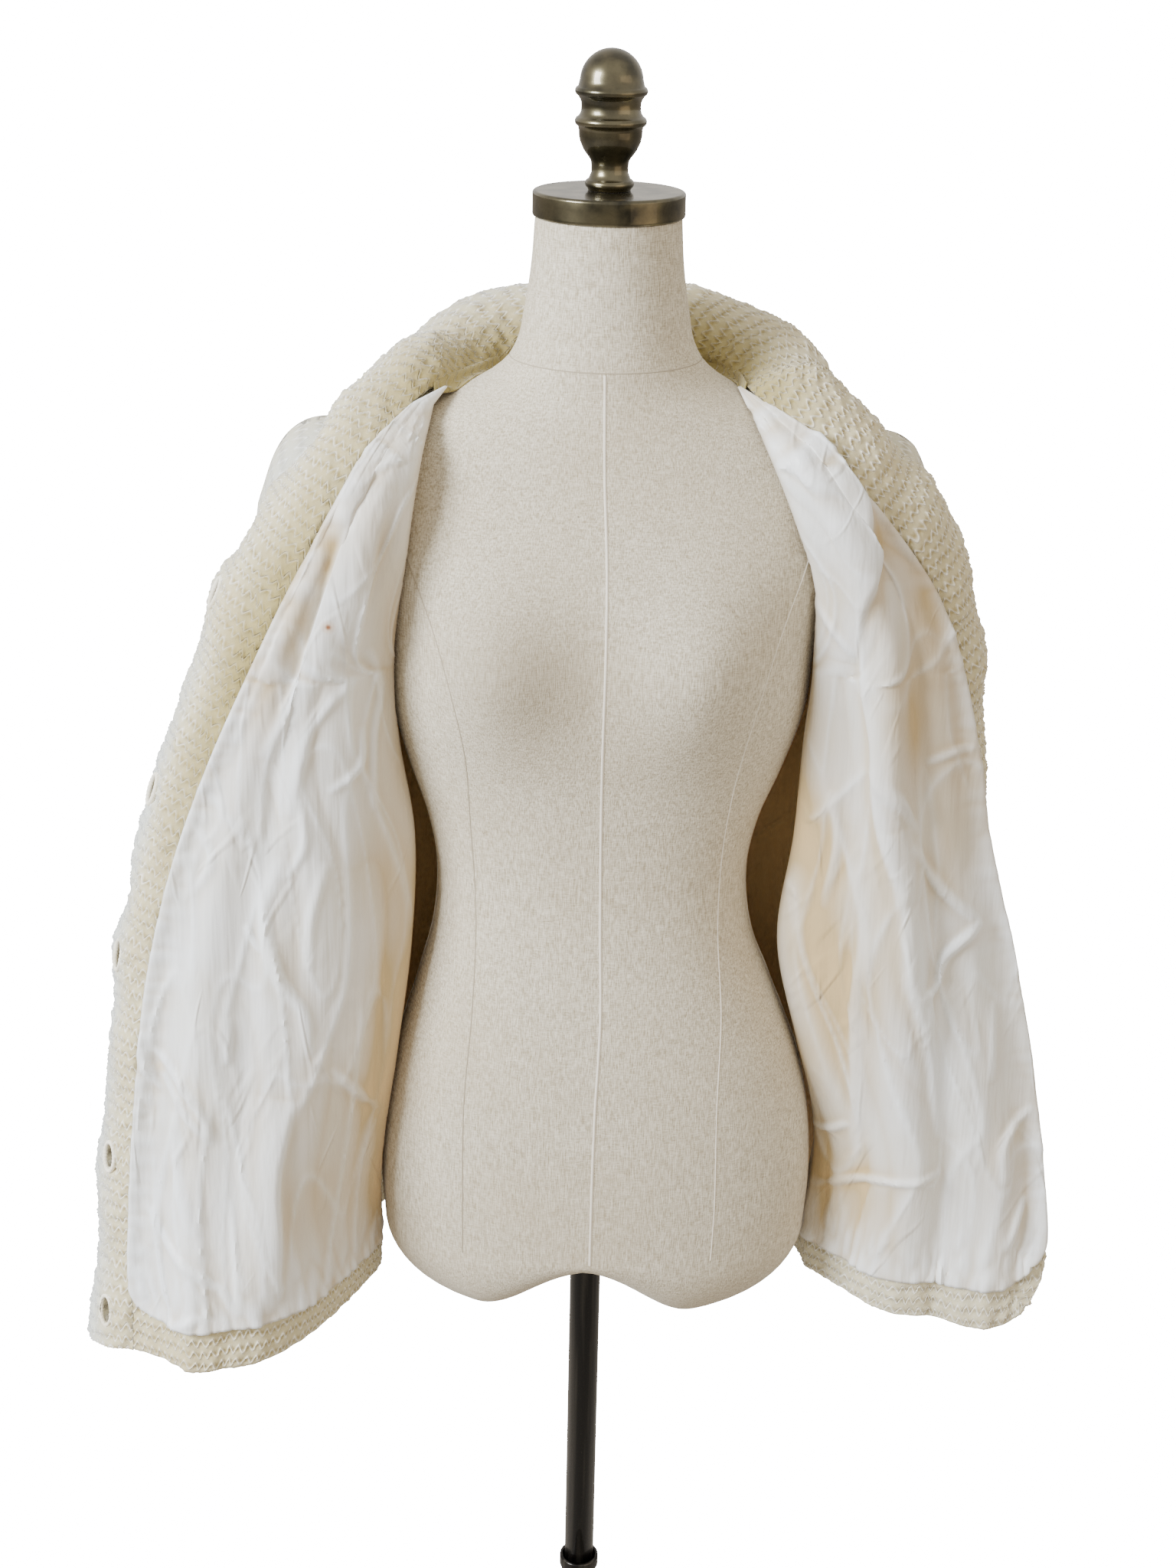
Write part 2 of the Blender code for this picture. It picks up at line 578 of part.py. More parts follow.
class Band:
    """The band's seam line and the curl of the strip along it."""

    def __init__(self, rows, side, label):
        self.side = side
        self.rows = rows
        self.outwards = side * CURL_OUTWARDS[label]
        self.knots = band_knots(rows, side, label)
        lengths = np.linalg.norm(np.diff(self.knots[:, :3], axis=0), axis=1)
        self.stops = np.concatenate([[0.0], np.cumsum(lengths)])
        self.length = self.stops[-1]

    def values(self, along):
        return [hermite(self.stops, self.knots[:, i], along) for i in range(5)]

    def frame(self, along):
        """Seam point, the direction out over the strip, the direction it curls to, and its turn."""
        step = 0.004
        before = Vector(self.values(max(along - step, 0.0))[:3])
        after = Vector(self.values(min(along + step, self.length))[:3])
        tangent = (after - before).normalized()
        x, y, z, start, end = self.values(along)
        back = Vector((self.outwards * ease(z, CURL_HIGH, COLLAR_HEIGHT), 1.0,
                       -CURL_DROP * ease(z, CURL_LOW, CURL_HIGH)))
        back = (back - back.dot(tangent) * tangent).normalized()
        out = tangent.cross(back) * -self.side
        return Vector((x, y, z)), out, back, math.radians(start), math.radians(end)

    def point(self, along, across):
        """Point of the strip's lining-side face, across from the seam by a length."""
        seam, out, back, start, end = self.frame(along)
        turn = (end - start) / BAND_WIDTH
        angle = start + turn * across
        outward = (math.sin(angle) - math.sin(start)) / turn
        curled = (math.cos(start) - math.cos(angle)) / turn + KNIT_WALL * max(math.sin(start), 0.0)
        swell = 0.0
        if self.side < 0:
            reach = math.sin(math.pi / 2 * across / BAND_WIDTH) ** 2
            near = sum(bell(seam.z, height, HOLE_SWELL_LENGTH) for height in BUTTON_HEIGHTS)
            swell = HOLE_SWELL * reach * near
        return seam + out * (outward + swell) + back * curled

    def along_at(self, height):
        front = self.knots[:len(self.rows)]
        return hermite(front[:, 2], self.stops[:len(self.rows)], height)


def band_sections(band):
    """Sections of the strip at the front's own rows, then at even steps round the neck."""
    stops = [band.along_at(height) for height in FRONT_HEIGHTS + (band.rows[-1][0],)]
    neck = stops[-1]
    for i in range(1, BAND_COLLAR_ROWS + 1):
        stops.append(neck + (band.length - PANEL_SEAM_GAP - neck) * i / BAND_COLLAR_ROWS)
    strip = BAND_WIDTH - BAND_SEAM_GAP
    return [[tuple(band.point(along, BAND_SEAM_GAP + strip * j / BAND_COLUMN_COUNT))
             for j in range(BAND_COLUMN_COUNT + 1)] for along in stops]


def face_direction(band, along, across):
    """Unit vector out of the strip's knit side at a point of it."""
    step = 0.003
    lengthways = band.point(along + step, across) - band.point(along - step, across)
    crossways = band.point(along, across + step) - band.point(along, across - step)
    return (lengthways.cross(crossways) * band.side).normalized(), lengthways.normalized()


bands = {"right": Band(RIGHT_FRONT_ROWS, -1, "right"), "left": Band(LEFT_FRONT_ROWS, 1, "left")}
band_pieces = {}
for label, band in bands.items():
    strip_piece = loft(label + "_band", band_sections(band), KNIT, flip=band.side < 0)
    add_wall(strip_piece, BAND_WALL, outward=False)
    band_pieces[label] = strip_piece

# Buttonholes, cut through the right band
for height, across in zip(BUTTON_HEIGHTS, HOLES_ACROSS):
    band = bands["right"]
    along = band.along_at(height)
    outwards, lengthways = face_direction(band, along, across)
    sideways = lengthways.cross(outwards).normalized()
    centre = band.point(along, across)
    bm = bmesh.new()
    bmesh.ops.create_cone(bm, cap_ends=True, segments=10, radius1=HOLE_WIDTH / 2,
                          radius2=HOLE_WIDTH / 2, depth=6 * BAND_WALL)
    mesh = bpy.data.meshes.new("buttonhole")
    bm.to_mesh(mesh)
    bm.free()
    cutter = add_object("buttonhole", mesh, KNIT, cutters)
    axes = Matrix((sideways, outwards.cross(sideways), outwards)).transposed()
    stretch = Matrix.Diagonal((1.0, HOLE_LENGTH / HOLE_WIDTH, 1.0))
    cutter.data.transform((axes @ stretch).to_4x4())
    cutter.location = centre
    cutter.hide_render = True
    cutter.display_type = "WIRE"
    cut = band_pieces["right"].modifiers.new("buttonhole", "BOOLEAN")
    cut.operation = "DIFFERENCE"
    cut.solver = "EXACT"
    cut.object = cutter

# Buttons on the knit side of the left band, each on a short shank
for number, height in enumerate(BUTTON_HEIGHTS, start=1):
    band = bands["left"]
    along = band.along_at(height)
    outwards, lengthways = face_direction(band, along, BAND_WIDTH / 2)
    foot = band.point(along, BAND_WIDTH / 2) + outwards * (BAND_WALL + BUTTON_FOOT_GAP)
    top = BUTTON_SHANK + BUTTON_THICKNESS
    button = turned("button_%d" % number, [
        (0.0, top - 0.0012), (BUTTON_RADIUS * 0.62, top - 0.0012), (BUTTON_RADIUS * 0.78, top),
        (BUTTON_RADIUS - 0.0010, top), (BUTTON_RADIUS, top - 0.0012), (BUTTON_RADIUS, BUTTON_SHANK + 0.001),
        (BUTTON_RADIUS - 0.001, BUTTON_SHANK), (BUTTON_SHANK_RADIUS, BUTTON_SHANK),
        (BUTTON_SHANK_RADIUS, 0.0), (0.0, 0.0)], BUTTON, 12)
    button.matrix_world = Matrix.Translation(foot) @ outwards.to_track_quat("Z", "Y").to_matrix().to_4x4()


# Back: a panel round the form's back, from side seam to side seam, up to the shoulders and neck
def back_lower_point(height, turn):
    """Point at a height; turn goes from -1 at the right side seam to 1 at the left one."""
    right = row_at(FRONT_COLUMNS, RIGHT_FRONT_ROWS, height)
    left = row_at(FRONT_COLUMNS, LEFT_FRONT_ROWS, height)
    depth = row_at(BACK_COLUMNS, BACK_ROWS, height)["depth"]
    angle = turn * math.pi / 2
    across = math.copysign(abs(math.sin(angle)) ** 0.82, angle)
    middle_x = (left["side_x"] - right["side_x"]) / 2
    half = (left["side_x"] + right["side_x"]) / 2
    share = (across + 1) / 2
    side_y = right["side_y"] * (1 - share) + left["side_y"] * share + PANEL_SEAM_GAP
    x = middle_x + half * across
    y = side_y + (depth - side_y) * abs(math.cos(angle)) ** 0.78
    x, y = clear_of_form(x, y, height, FORM_CLEARANCE)
    return x, y, height


neck_edge = [(row[0], row[1], row[2] - row[3]) for row in reversed(COLLAR_ROWS)]
neck_edge.append((SHOULDER_INNER_X, SHOULDER_INNER_Y + PANEL_SEAM_GAP, SHOULDER_INNER_Z))
neck_edge = np.array(neck_edge)


def back_top_point(turn):
    """Point of the top edge: below the collar round the neck, then along the shoulder seam."""
    x = abs(turn) * SHOULDER_END_X
    if x > SHOULDER_INNER_X:
        share = (x - SHOULDER_INNER_X) / (SHOULDER_END_X - SHOULDER_INNER_X)
        z = SHOULDER_INNER_Z + (SHOULDER_END - SHOULDER_INNER_Z) * share
        y = shoulder_seam(z)[1] + PANEL_SEAM_GAP
    else:
        y = hermite(neck_edge[:, 0], neck_edge[:, 1], x)
        z = hermite(neck_edge[:, 0], neck_edge[:, 2], x)
    return math.copysign(x, turn), y, z


def back_yoke_point(turn, rise):
    """Point between the underarm and the top edge, with the armhole's curve at the sides."""
    low = back_lower_point(UNDERARM, turn)
    high = back_top_point(turn)
    x = low[0] + (high[0] - low[0]) * rise
    y = low[1] + (high[1] - low[1]) * rise ** 2.4
    z = low[2] + (high[2] - low[2]) * rise
    y += armhole_curve(z) * ease(abs(turn), 0.55, 1.0)
    x, y = clear_of_form(x, y, z, FORM_CLEARANCE)
    return x, y, z


turns = [-1 + 2 * j / BACK_COLUMN_COUNT for j in range(BACK_COLUMN_COUNT + 1)]
back_heights = [HEM]
for i in range(BACK_LOWER_ROWS):
    back_heights.append(HEM + LINING_HEM + (UNDERARM - HEM - LINING_HEM) * i / BACK_LOWER_ROWS)
sections = [[back_lower_point(height, turn) for turn in turns] for height in back_heights]
for i in range(BACK_YOKE_ROWS + 1):
    rise = 1 - (1 - i / BACK_YOKE_ROWS) ** 1.4
    sections.append([back_yoke_point(turn, rise) for turn in turns])
back = loft("back", sections, KNIT)
add_wall(back, KNIT_WALL, outward=False)
back_lining = loft("back_lining", off_the_surface(sections[1:], LINING_GAP, 1), LINING)
add_wall(back_lining, LINING_WALL, outward=True)


# Sleeves: open tubes that hang behind the opened fronts
def sleeve_ring(rings, side, along):
    table = np.array(rings, float)
    knots = np.linspace(0.0, 1.0, len(rings))
    row = {name: hermite(knots, table[:, i], along) for i, name in enumerate(SLEEVE_COLUMNS)}
    points = []
    for i in range(SLEEVE_SIDES):
        across, deep = rounded(2 * math.pi * i / SLEEVE_SIDES, 2.0)
        share = (across + 1) / 2
        x = row["inner_x"] + (row["outer_x"] - row["inner_x"]) * share
        z = row["inner_z"] + (row["outer_z"] - row["inner_z"]) * share
        points.append((side * x, row["mid_y"] + row["half_depth"] * deep, z))
    return points


for label, side, rings in (("right", -1, RIGHT_SLEEVE_RINGS), ("left", 1, LEFT_SLEEVE_RINGS)):
    stations = [i / (SLEEVE_RING_COUNT - 1) for i in range(SLEEVE_RING_COUNT)]
    sleeve = loft(label + "_sleeve", [sleeve_ring(rings, side, station) for station in stations], KNIT,
                  around=True, flip=side > 0)
    add_wall(sleeve, KNIT_WALL, outward=False)
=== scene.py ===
import math

import bmesh
import bpy
import numpy as np
from mathutils import Matrix, Vector


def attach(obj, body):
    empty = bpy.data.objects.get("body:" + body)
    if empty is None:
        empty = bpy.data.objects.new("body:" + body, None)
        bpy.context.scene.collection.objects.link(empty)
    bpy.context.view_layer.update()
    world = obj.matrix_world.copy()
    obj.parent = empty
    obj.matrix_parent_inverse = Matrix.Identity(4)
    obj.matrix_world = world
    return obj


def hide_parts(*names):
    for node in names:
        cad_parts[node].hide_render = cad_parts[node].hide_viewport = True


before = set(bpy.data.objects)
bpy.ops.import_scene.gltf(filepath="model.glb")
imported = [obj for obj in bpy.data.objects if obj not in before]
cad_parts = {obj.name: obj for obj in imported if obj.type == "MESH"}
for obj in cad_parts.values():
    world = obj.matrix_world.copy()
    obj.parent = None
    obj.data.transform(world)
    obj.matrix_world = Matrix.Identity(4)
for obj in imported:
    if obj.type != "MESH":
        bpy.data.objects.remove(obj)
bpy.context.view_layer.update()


# Stand: weighted base plate, wide lower tube and the thin pole that slides in it, in dark
# bronze-black lacquered steel. Each is one profile spun round the pole's axis.
def to_linear(hex_value):
    """Linear colour of an sRGB hex value such as 0xEDE6D3."""
    channels = [(hex_value >> shift & 255) / 255 for shift in (16, 8, 0)]
    linear = [c / 12.92 if c <= 0.04045 else ((c + 0.055) / 1.055) ** 2.4 for c in channels]
    return (*linear, 1.0)


def set_inputs(material, node, inputs):
    """Links each input of a node to another node or a socket, or sets it to a value."""
    for key, value in inputs.items():
        if isinstance(value, bpy.types.Node):
            value = next(socket for socket in value.outputs if socket.enabled)
        if isinstance(value, bpy.types.NodeSocket):
            material.node_tree.links.new(value, node.inputs[key])
        else:
            node.inputs[key].default_value = value


def set_shader(material, **inputs):
    """Sets or links the Principled inputs, given with underscores for the spaces."""
    shader = material.node_tree.nodes["Principled BSDF"]
    set_inputs(material, shader, {key.replace("_", " "): value for key, value in inputs.items()})


def new_material(name, **inputs):
    material = bpy.data.materials.new(name)
    material.use_nodes = True
    set_shader(material, **inputs)
    return material


def add_node(material, kind, inputs, **settings):
    """Adds a shader node with its settings and its inputs."""
    made = material.node_tree.nodes.new("ShaderNode" + kind)
    for key, value in settings.items():
        setattr(made, key, value)
    set_inputs(material, made, inputs)
    return made


def add_piece(name, bm, material, body="form"):
    """Turns a bmesh into a piece that rides on one of the frame's bodies."""
    mesh = bpy.data.meshes.new(name)
    bm.normal_update()
    bm.to_mesh(mesh)
    bm.free()
    mesh.shade_smooth()
    mesh.set_sharp_from_angle(angle=math.radians(50))
    mesh.materials.append(material)
    piece = bpy.data.objects.new(name, mesh)
    bpy.context.scene.collection.objects.link(piece)
    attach(piece, body)
    return piece


def turned(name, profile, material, body, place=None):
    """Spins a closed profile of (radius, height) points in mm once round Z."""
    bm = bmesh.new()
    verts = [bm.verts.new((radius / 1000, 0.0, height / 1000)) for radius, height in profile]
    edges = [bm.edges.new(pair) for pair in zip(verts, verts[1:])]
    bmesh.ops.spin(bm, geom=verts + edges, axis=(0, 0, 1), angle=2 * math.pi, steps=72, use_merge=True)
    bmesh.ops.remove_doubles(bm, verts=bm.verts, dist=0.000001)
    bmesh.ops.recalc_face_normals(bm, faces=bm.faces)
    if place:
        bmesh.ops.transform(bm, matrix=place, verts=bm.verts)
    return add_piece(name, bm, material, body)


def arc(centre_r, centre_z, radius, start, end, count):
    """Profile points along an arc, angles in degrees from straight out."""
    angles = np.radians(np.linspace(start, end, count))
    return [(centre_r + radius * math.cos(a), centre_z + radius * math.sin(a)) for a in angles]


# Lacquered steel: near-black brown, with faint grey streaks down the tube
dark_steel = new_material("lacquered_bronze_steel", Metallic=0.85, Roughness=0.3, Coat_Weight=0.3)
where = add_node(dark_steel, "TexCoord", {}).outputs["Object"]
streak_place = add_node(dark_steel, "Mapping", {"Vector": where, "Scale": (160, 160, 5)})
streaks = add_node(dark_steel, "TexNoise", {"Vector": streak_place, "Scale": 1.0})
share = add_node(dark_steel, "MapRange", {0: streaks, 1: 0.45, 2: 0.8})
tone = add_node(dark_steel, "Mix", {0: share, 6: to_linear(0x151312), 7: to_linear(0x4B4741)},
                data_type="RGBA")
set_shader(dark_steel, Base_Color=tone)

BASE_PROFILE = [
    (0, 22), (26.5, 22), *arc(27, 19, 3, 90, 0, 5), (30.5, 14), (32.5, 10.5), (36, 9.4), (80, 8.5),
    (160, 7), *arc(177, 3.6, 3, 84, -20, 6), (179, 0), (0, 0)]
TUBE_PROFILE = [
    (0, 30), (13, 30), (13, 357), (13.4, 359.2), (14.2, 360), *arc(15, 358.5, 1.5, 90, 0, 5),
    (16.5, 351), *arc(15.5, 350.5, 1, 0, -60, 3), (14.7, 348), (14.7, 22.4), (0, 22.4)]
POLE_PROFILE = [(0, 799.6), (12.3, 799.6), (12.3, 121), (11.3, 120), (0, 120)]
for name, profile, body in (("base_plate", BASE_PROFILE, "base"), ("lower_tube", TUBE_PROFILE, "base"),
                            ("upper_pole", POLE_PROFILE, "mast")):
    piece = turned(name + "_turned", profile, dark_steel, body)
    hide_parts(name)


# Dress form: padded body covered in pale linen, as one smooth surface through sections from
# the neck to the hip and round the lobed underside, laid on a grid joined at its side.
def curve(knots, values, at):
    """Smooth curve through the values at rising knots, read at any number of places."""
    knots = np.asarray(knots, float)
    values = np.asarray(values, float)
    at = np.clip(np.asarray(at, float), knots[0], knots[-1])
    slopes = np.gradient(values, knots, axis=0)
    i = np.clip(np.searchsorted(knots, at, side="right") - 1, 0, len(knots) - 2)
    span = knots[i + 1] - knots[i]
    t = (at - knots[i]) / span
    if values.ndim > 1:
        span = span[..., None]
        t = t[..., None]
    line = values[i] * (1 + 2 * t) * (1 - t) ** 2 + values[i + 1] * t * t * (3 - 2 * t)
    return line + span * (slopes[i] * t * (1 - t) ** 2 - slopes[i + 1] * t * t * (1 - t))


def bell(x, centre, width):
    """Bell-shaped bump, 1 high at its centre."""
    return np.exp(-((x - centre) / width) ** 2)


def ease(x, start, end):
    """Soft step from 0 at the start to 1 at the end."""
    share = np.clip((x - start) / (end - start), 0.0, 1.0)
    return share * share * (3 - 2 * share)


def unit(vectors):
    return vectors / np.linalg.norm(vectors, axis=-1, keepdims=True)


def run_length(points, axis=0):
    """Length along a line or a grid of points, counted from its first one."""
    steps = np.diff(points, axis=axis, prepend=np.take(points, [0], axis))
    return np.cumsum(np.linalg.norm(steps, axis=-1), axis=axis)


def grid_piece(name, points, material, weave=None, around=False, slits=()):
    """Grid of quads moved to the points (rows, columns, 3), with its weave coordinates kept.
    Around joins the last column to the first. A slit is (first row, last row, two columns):
    the faces of both columns are cut away there and the two openings walled together."""
    rows, columns = points.shape[:2]
    bm = bmesh.new()
    bmesh.ops.create_grid(bm, x_segments=columns - 1, y_segments=rows - 1, size=1.0)
    column = np.rint([(v.co.x + 1) / 2 * (columns - 1) for v in bm.verts]).astype(int)
    row = np.rint([(v.co.y + 1) / 2 * (rows - 1) for v in bm.verts]).astype(int)
    layer = bm.verts.layers.float_vector.new("weave")
    if weave is None:
        weave = np.zeros_like(points)
    for v, co, value in zip(bm.verts, points[row, column].tolist(), weave[row, column].tolist()):
        v.co = co
        v[layer] = value
    for first, last, *cut_columns in slits:
        cut = []
        for face in bm.faces:
            corners = [v.index for v in face.verts]
            if first <= min(row[corners]) <= last and min(column[corners]) in cut_columns:
                cut.append(face)
        rims = {edge for face in cut for edge in face.edges if sum(f in cut for f in edge.link_faces) == 1}
        bmesh.ops.delete(bm, geom=cut, context="FACES_KEEP_BOUNDARY")
        bmesh.ops.bridge_loops(bm, edges=[edge for edge in rims if edge.is_valid])
    if around:
        edge = [v for v in bm.verts if column[v.index] in (0, columns - 1)]
        bmesh.ops.remove_doubles(bm, verts=edge, dist=0.00002)
    return add_piece(name, bm, material)


FORM_COLUMNS = ("height", "half_width", "front", "back", "shift", "power")
FORM_ROWS = np.array((
    (712, 168, 88, 103, 6, 2.25),
    (750, 170, 90, 105, 6, 2.25),
    (800, 167, 91, 102, 6, 2.25),
    (860, 156, 89, 93, 5, 2.25),
    (920, 136, 84, 80, 2, 2.25),
    (970, 120, 79, 71, -1, 2.25),
    (1015, 116.5, 76, 68, -2, 2.25),
    (1060, 124, 78, 73, -2, 2.25),
    (1100, 138, 83, 79, -1, 2.25),
    (1150, 152, 93, 86, 0, 2.25),
    (1195, 156, 98, 89, 0, 2.25),
    (1230, 162, 96, 90, 0, 2.25),
    (1270, 170.5, 88, 88, 0, 2.25),
    (1295, 170.5, 81, 81, 0, 2.15),
    (1322, 166.5, 73, 74, 0, 2.00),
    (1346, 153, 68, 67, 0, 1.85),
    (1362, 131, 65, 63, 0, 1.75),
    (1374, 106, 63, 60, 0, 1.75),
    (1384, 85, 61, 58, 0, 1.85),
    (1395, 70, 60, 56, 0, 1.95),
    (1408, 62, 58, 54, 0, 2.00),
    (1430, 57, 55, 52, 0, 2.00),
    (1460, 52.5, 52, 51, 0, 2.00),
    (1493.7, 50, 50, 50, 0, 2.00),
)) / ([1000] * 5 + [1])
FORM_RIM = FORM_ROWS[0, 0]


def form_row(height):
    """Half width, front, back, shift and power of the form's section at each height."""
    return np.moveaxis(curve(FORM_ROWS[:, 0], FORM_ROWS[:, 1:], height), -1, 0)


def bust(x, height):
    return 0.020 * bell(np.abs(x), 0.076, 0.046) * bell(height, 1.195, 0.060)


def form_surface(angle, height, scale=1.0):
    """Points of the form; a scale under 1 runs in over the lobed underside."""
    half, front, back, shift, power = form_row(height)
    c = np.cos(angle)
    s = np.sin(angle)
    across = np.sign(c) * np.abs(c) ** (2 / power)
    deep = np.sign(s) * np.abs(s) ** (2 / power)
    x = half * across
    y = deep * np.where(deep > 0, back, front)
    y = y - np.where(deep < 0, bust(x, height) * np.abs(deep) ** 0.5, 0.0)
    x = scale * x + shift
    lobe = bell(np.minimum(np.abs(x), 0.088), 0.088, 0.062)
    drop = (0.012 + 0.066 * lobe) * np.sqrt(np.clip(1 - scale ** 3.2, 0, 1))
    return np.stack(np.broadcast_arrays(x, scale * y, height - drop), axis=-1)


SEAM_STITCH = 0.0024


def form_seam(angle, height, half_width):
    """Raised sewn seam along a line on the form: a low rib with a stitch every 2.4 mm."""
    path = form_surface(angle, height)
    along = unit(np.gradient(path, axis=0))
    aside = form_surface(angle + 0.01, height) - form_surface(angle - 0.01, height)
    out = unit(np.cross(aside, np.array([0.0, 0.0, 1.0]) + along * 0.001))
    beside = unit(np.cross(out, along))
    stitch = 0.75 + 0.25 * np.sin(2 * np.pi * run_length(path) / SEAM_STITCH)
    a = np.linspace(-1, 1, 7)
    lift = (0.95 * half_width * (1 - a ** 2)[None, :] * stitch[:, None] - 0.0001)[..., None]
    return path[:, None] + beside[:, None] * (half_width * a)[None, :, None] + out[:, None] * lift


# Natural linen canvas: warm grey-beige plain weave, with slubs and a few dark flecks. The real
# threads, 0.4 mm, are finer than a pixel, so they are drawn 0.8 mm wide.
linen = new_material("natural_linen_canvas", Roughness=0.92, Sheen_Weight=0.15, Specular_IOR_Level=0.2)
where = add_node(linen, "TexCoord", {}).outputs["Object"]
yarns = []
for scale in ((1300, 1300, 130), (260, 260, 1300), (420, 420, 60)):
    yarn_place = add_node(linen, "Mapping", {"Vector": where, "Scale": scale})
    yarns.append(add_node(linen, "TexNoise", {"Vector": yarn_place, "Scale": 1.0}))
warp, weft, slubs = yarns
threads = add_node(linen, "Math", {0: weft, 1: 0.6, 2: warp}, operation="MULTIPLY_ADD")
clouds = add_node(linen, "TexNoise", {"Vector": where, "Scale": 9.0, "Detail": 3.0})
flecks = add_node(linen, "TexNoise", {"Vector": where, "Scale": 300.0})
# Painted shade: a soft darker patch on the right side of the chest, by the bust
from_chest = add_node(linen, "VectorMath", {0: where, 1: (-0.058, -0.115, 1.205)}, operation="DISTANCE")
painted_chest_shade = add_node(linen, "MapRange", {0: from_chest, 1: 0.0, 2: 0.085, 3: 0.45, 4: 0.0},
                       interpolation_type="SMOOTHSTEP")
tone = to_linear(0xA99D84)
for share, colour in (
        (add_node(linen, "MapRange", {0: threads, 1: 0.58, 2: 1.02}), 0xE5DDC9),
        (add_node(linen, "MapRange", {0: slubs, 1: 0.64, 2: 0.78, 4: 0.3}), 0xE2DBCA),
        (add_node(linen, "MapRange", {0: clouds, 1: 0.4, 2: 0.7, 4: 0.25}), 0xBEAD8E),
        # painted shade on the right of the chest
        (painted_chest_shade, 0x8F826C),
        (add_node(linen, "MapRange", {0: flecks, 1: 0.745, 2: 0.79, 4: 0.6}), 0x5E5240)):
    tone = add_node(linen, "Mix", {0: share, 6: tone, 7: to_linear(colour)}, data_type="RGBA")
linen_bump = add_node(linen, "Bump", {"Height": threads, "Strength": 0.6, "Distance": 0.0006})
set_shader(linen, Base_Color=tone, Normal=linen_bump)

turn = np.linspace(0, 2 * np.pi, 161)[None, :]
scales = np.sin(np.linspace(0.09, np.pi / 2, 22))[:-1, None]
underside = form_surface(turn, np.full_like(scales, FORM_RIM), scales)
body_heights = np.linspace(FORM_RIM, FORM_ROWS[-1, 0], 140)[:, None]
socket_top = underside[0] + np.array([0.0, 0.0, 0.030])
form_points = np.concatenate([socket_top[None], underside, form_surface(turn, body_heights)])
form_cover = grid_piece("form_cover", form_points, linen, around=True)
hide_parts("form_torso")

# Sewn seams of the cover: front middle and princess seams at the places that the photo shows,
# the same at the back, the sides and round the neck. Linen thread, a low rib on the surface.
FRONT_SEAM_COLUMNS = ("height", "right_x", "middle_x", "left_x")
FRONT_SEAMS = np.array((
    (690, -96, 3.3, 96),
    (755, -95.6, 3.3, 97.6),
    (850, -94.4, 4.5, 96.2),
    (920, -88.9, 6.9, 97),
    (987, -86.5, 5.5, 92.3),
    (1070, -90.4, 4.2, 95),
    (1139, -94.8, 4, 105),
    (1209, -110.8, 4.6, 122.5),
    (1272, -135.4, 4, 144),
    (1330, -156, 1.2, 160),
    (1398, -158, -0.2, 160),
)) / 1000
# Bleached linen thread, lighter than the canvas; grey for the right princess and neck seams, as painted
# shade along these seams
thread = new_material("bleached_linen_thread", Roughness=0.8, Base_Color=to_linear(0xE6DECE))
grey_thread = new_material("grey_linen_thread", Roughness=0.9, Base_Color=to_linear(0xA89D88))
for column, label in ((1, "right_princess"), (2, "front_middle"), (3, "left_princess")):
    top = 1.398 if column == 2 else 1.325
    heights = np.linspace(FORM_RIM + 0.001, top, 560)
    half, _, _, shift, power = form_row(heights)
    x = curve(FRONT_SEAMS[:, 0], FRONT_SEAMS[:, column], heights)
    across = np.clip((x - shift) / half, -0.985, 0.985)
    angles = np.arccos(np.sign(across) * np.abs(across) ** (power / 2))
    for sign, place, step in ((-1, "front", 1), (1, "back", 2)):
        half_width = 0.0012 if column == 2 else 0.0006
        points = form_seam(sign * angles[::step], heights[::step], half_width)
        # the grey thread paints the shade along the right princess seam
        seam_thread = grey_thread if column == 1 else thread
        seam = grid_piece("form_seam_%s_%s" % (label, place), points, seam_thread)
for angle, label in ((0.0, "left_side"), (math.pi, "right_side")):
    heights = np.linspace(FORM_RIM + 0.001, 1.330, 260)
    points = form_seam(np.full_like(heights, angle), heights, 0.0009)
    seam = grid_piece("form_seam_" + label, points, thread)
neck_turn = np.linspace(0, 2 * np.pi, 400)
neck_points = form_seam(neck_turn, np.full_like(neck_turn, 1.3990), 0.0005)
# the grey thread paints the shade along the neck seam
neck_seam = grid_piece("form_seam_neck", neck_points, grey_thread)


# Neck cap and finial: turned brass, lacquered, gone olive-brown with age. Two spun profiles,
# the finial a domed knob on a beaded waist and a small foot.
brass = new_material("lacquered_antique_brass", Metallic=1.0, Coat_Weight=0.6)
where = add_node(brass, "TexCoord", {}).outputs["Object"]
patina = add_node(brass, "TexNoise", {"Vector": where, "Scale": 55.0, "Detail": 4.0})
patina_share = add_node(brass, "MapRange", {0: patina, 1: 0.35, 2: 0.7})
tone = add_node(brass, "Mix", {0: patina_share, 6: to_linear(0x6E6750), 7: to_linear(0x2C2A20)},
                data_type="RGBA")
rough = add_node(brass, "MapRange", {0: patina, 3: 0.18, 4: 0.42})
set_shader(brass, Base_Color=tone, Roughness=rough)

CAP_PROFILE = [
    (0, 1511), (49, 1511), *arc(49.8, 1508.8, 2.2, 90, 0, 7), (51.9, 1504), (52, 1496.5),
    *arc(50.2, 1495.8, 1.8, 0, -90, 5), (0, 1494)]
FINIAL_PROFILE = [
    (0, 1603), *arc(0, 1581.8, 21.2, 86, 4, 16), *arc(21.2, 1575.5, 3.2, 70, -70, 9), (20.8, 1570),
    (20.1, 1568), (19.9, 1565.5), (20.1, 1563), (20.6, 1561.2), *arc(20.8, 1556, 3.4, 70, -70, 9),
    (21.4, 1550), (21.3, 1547), (20.5, 1543), (18, 1537.5), (15.8, 1534.5), (14.2, 1532.5),
    (13, 1530.5), (12.5, 1527), (12.5, 1523), *arc(13.5, 1515.6, 3.2, 75, -60, 8), (14.5, 1511.4),
    (0, 1511.4)]
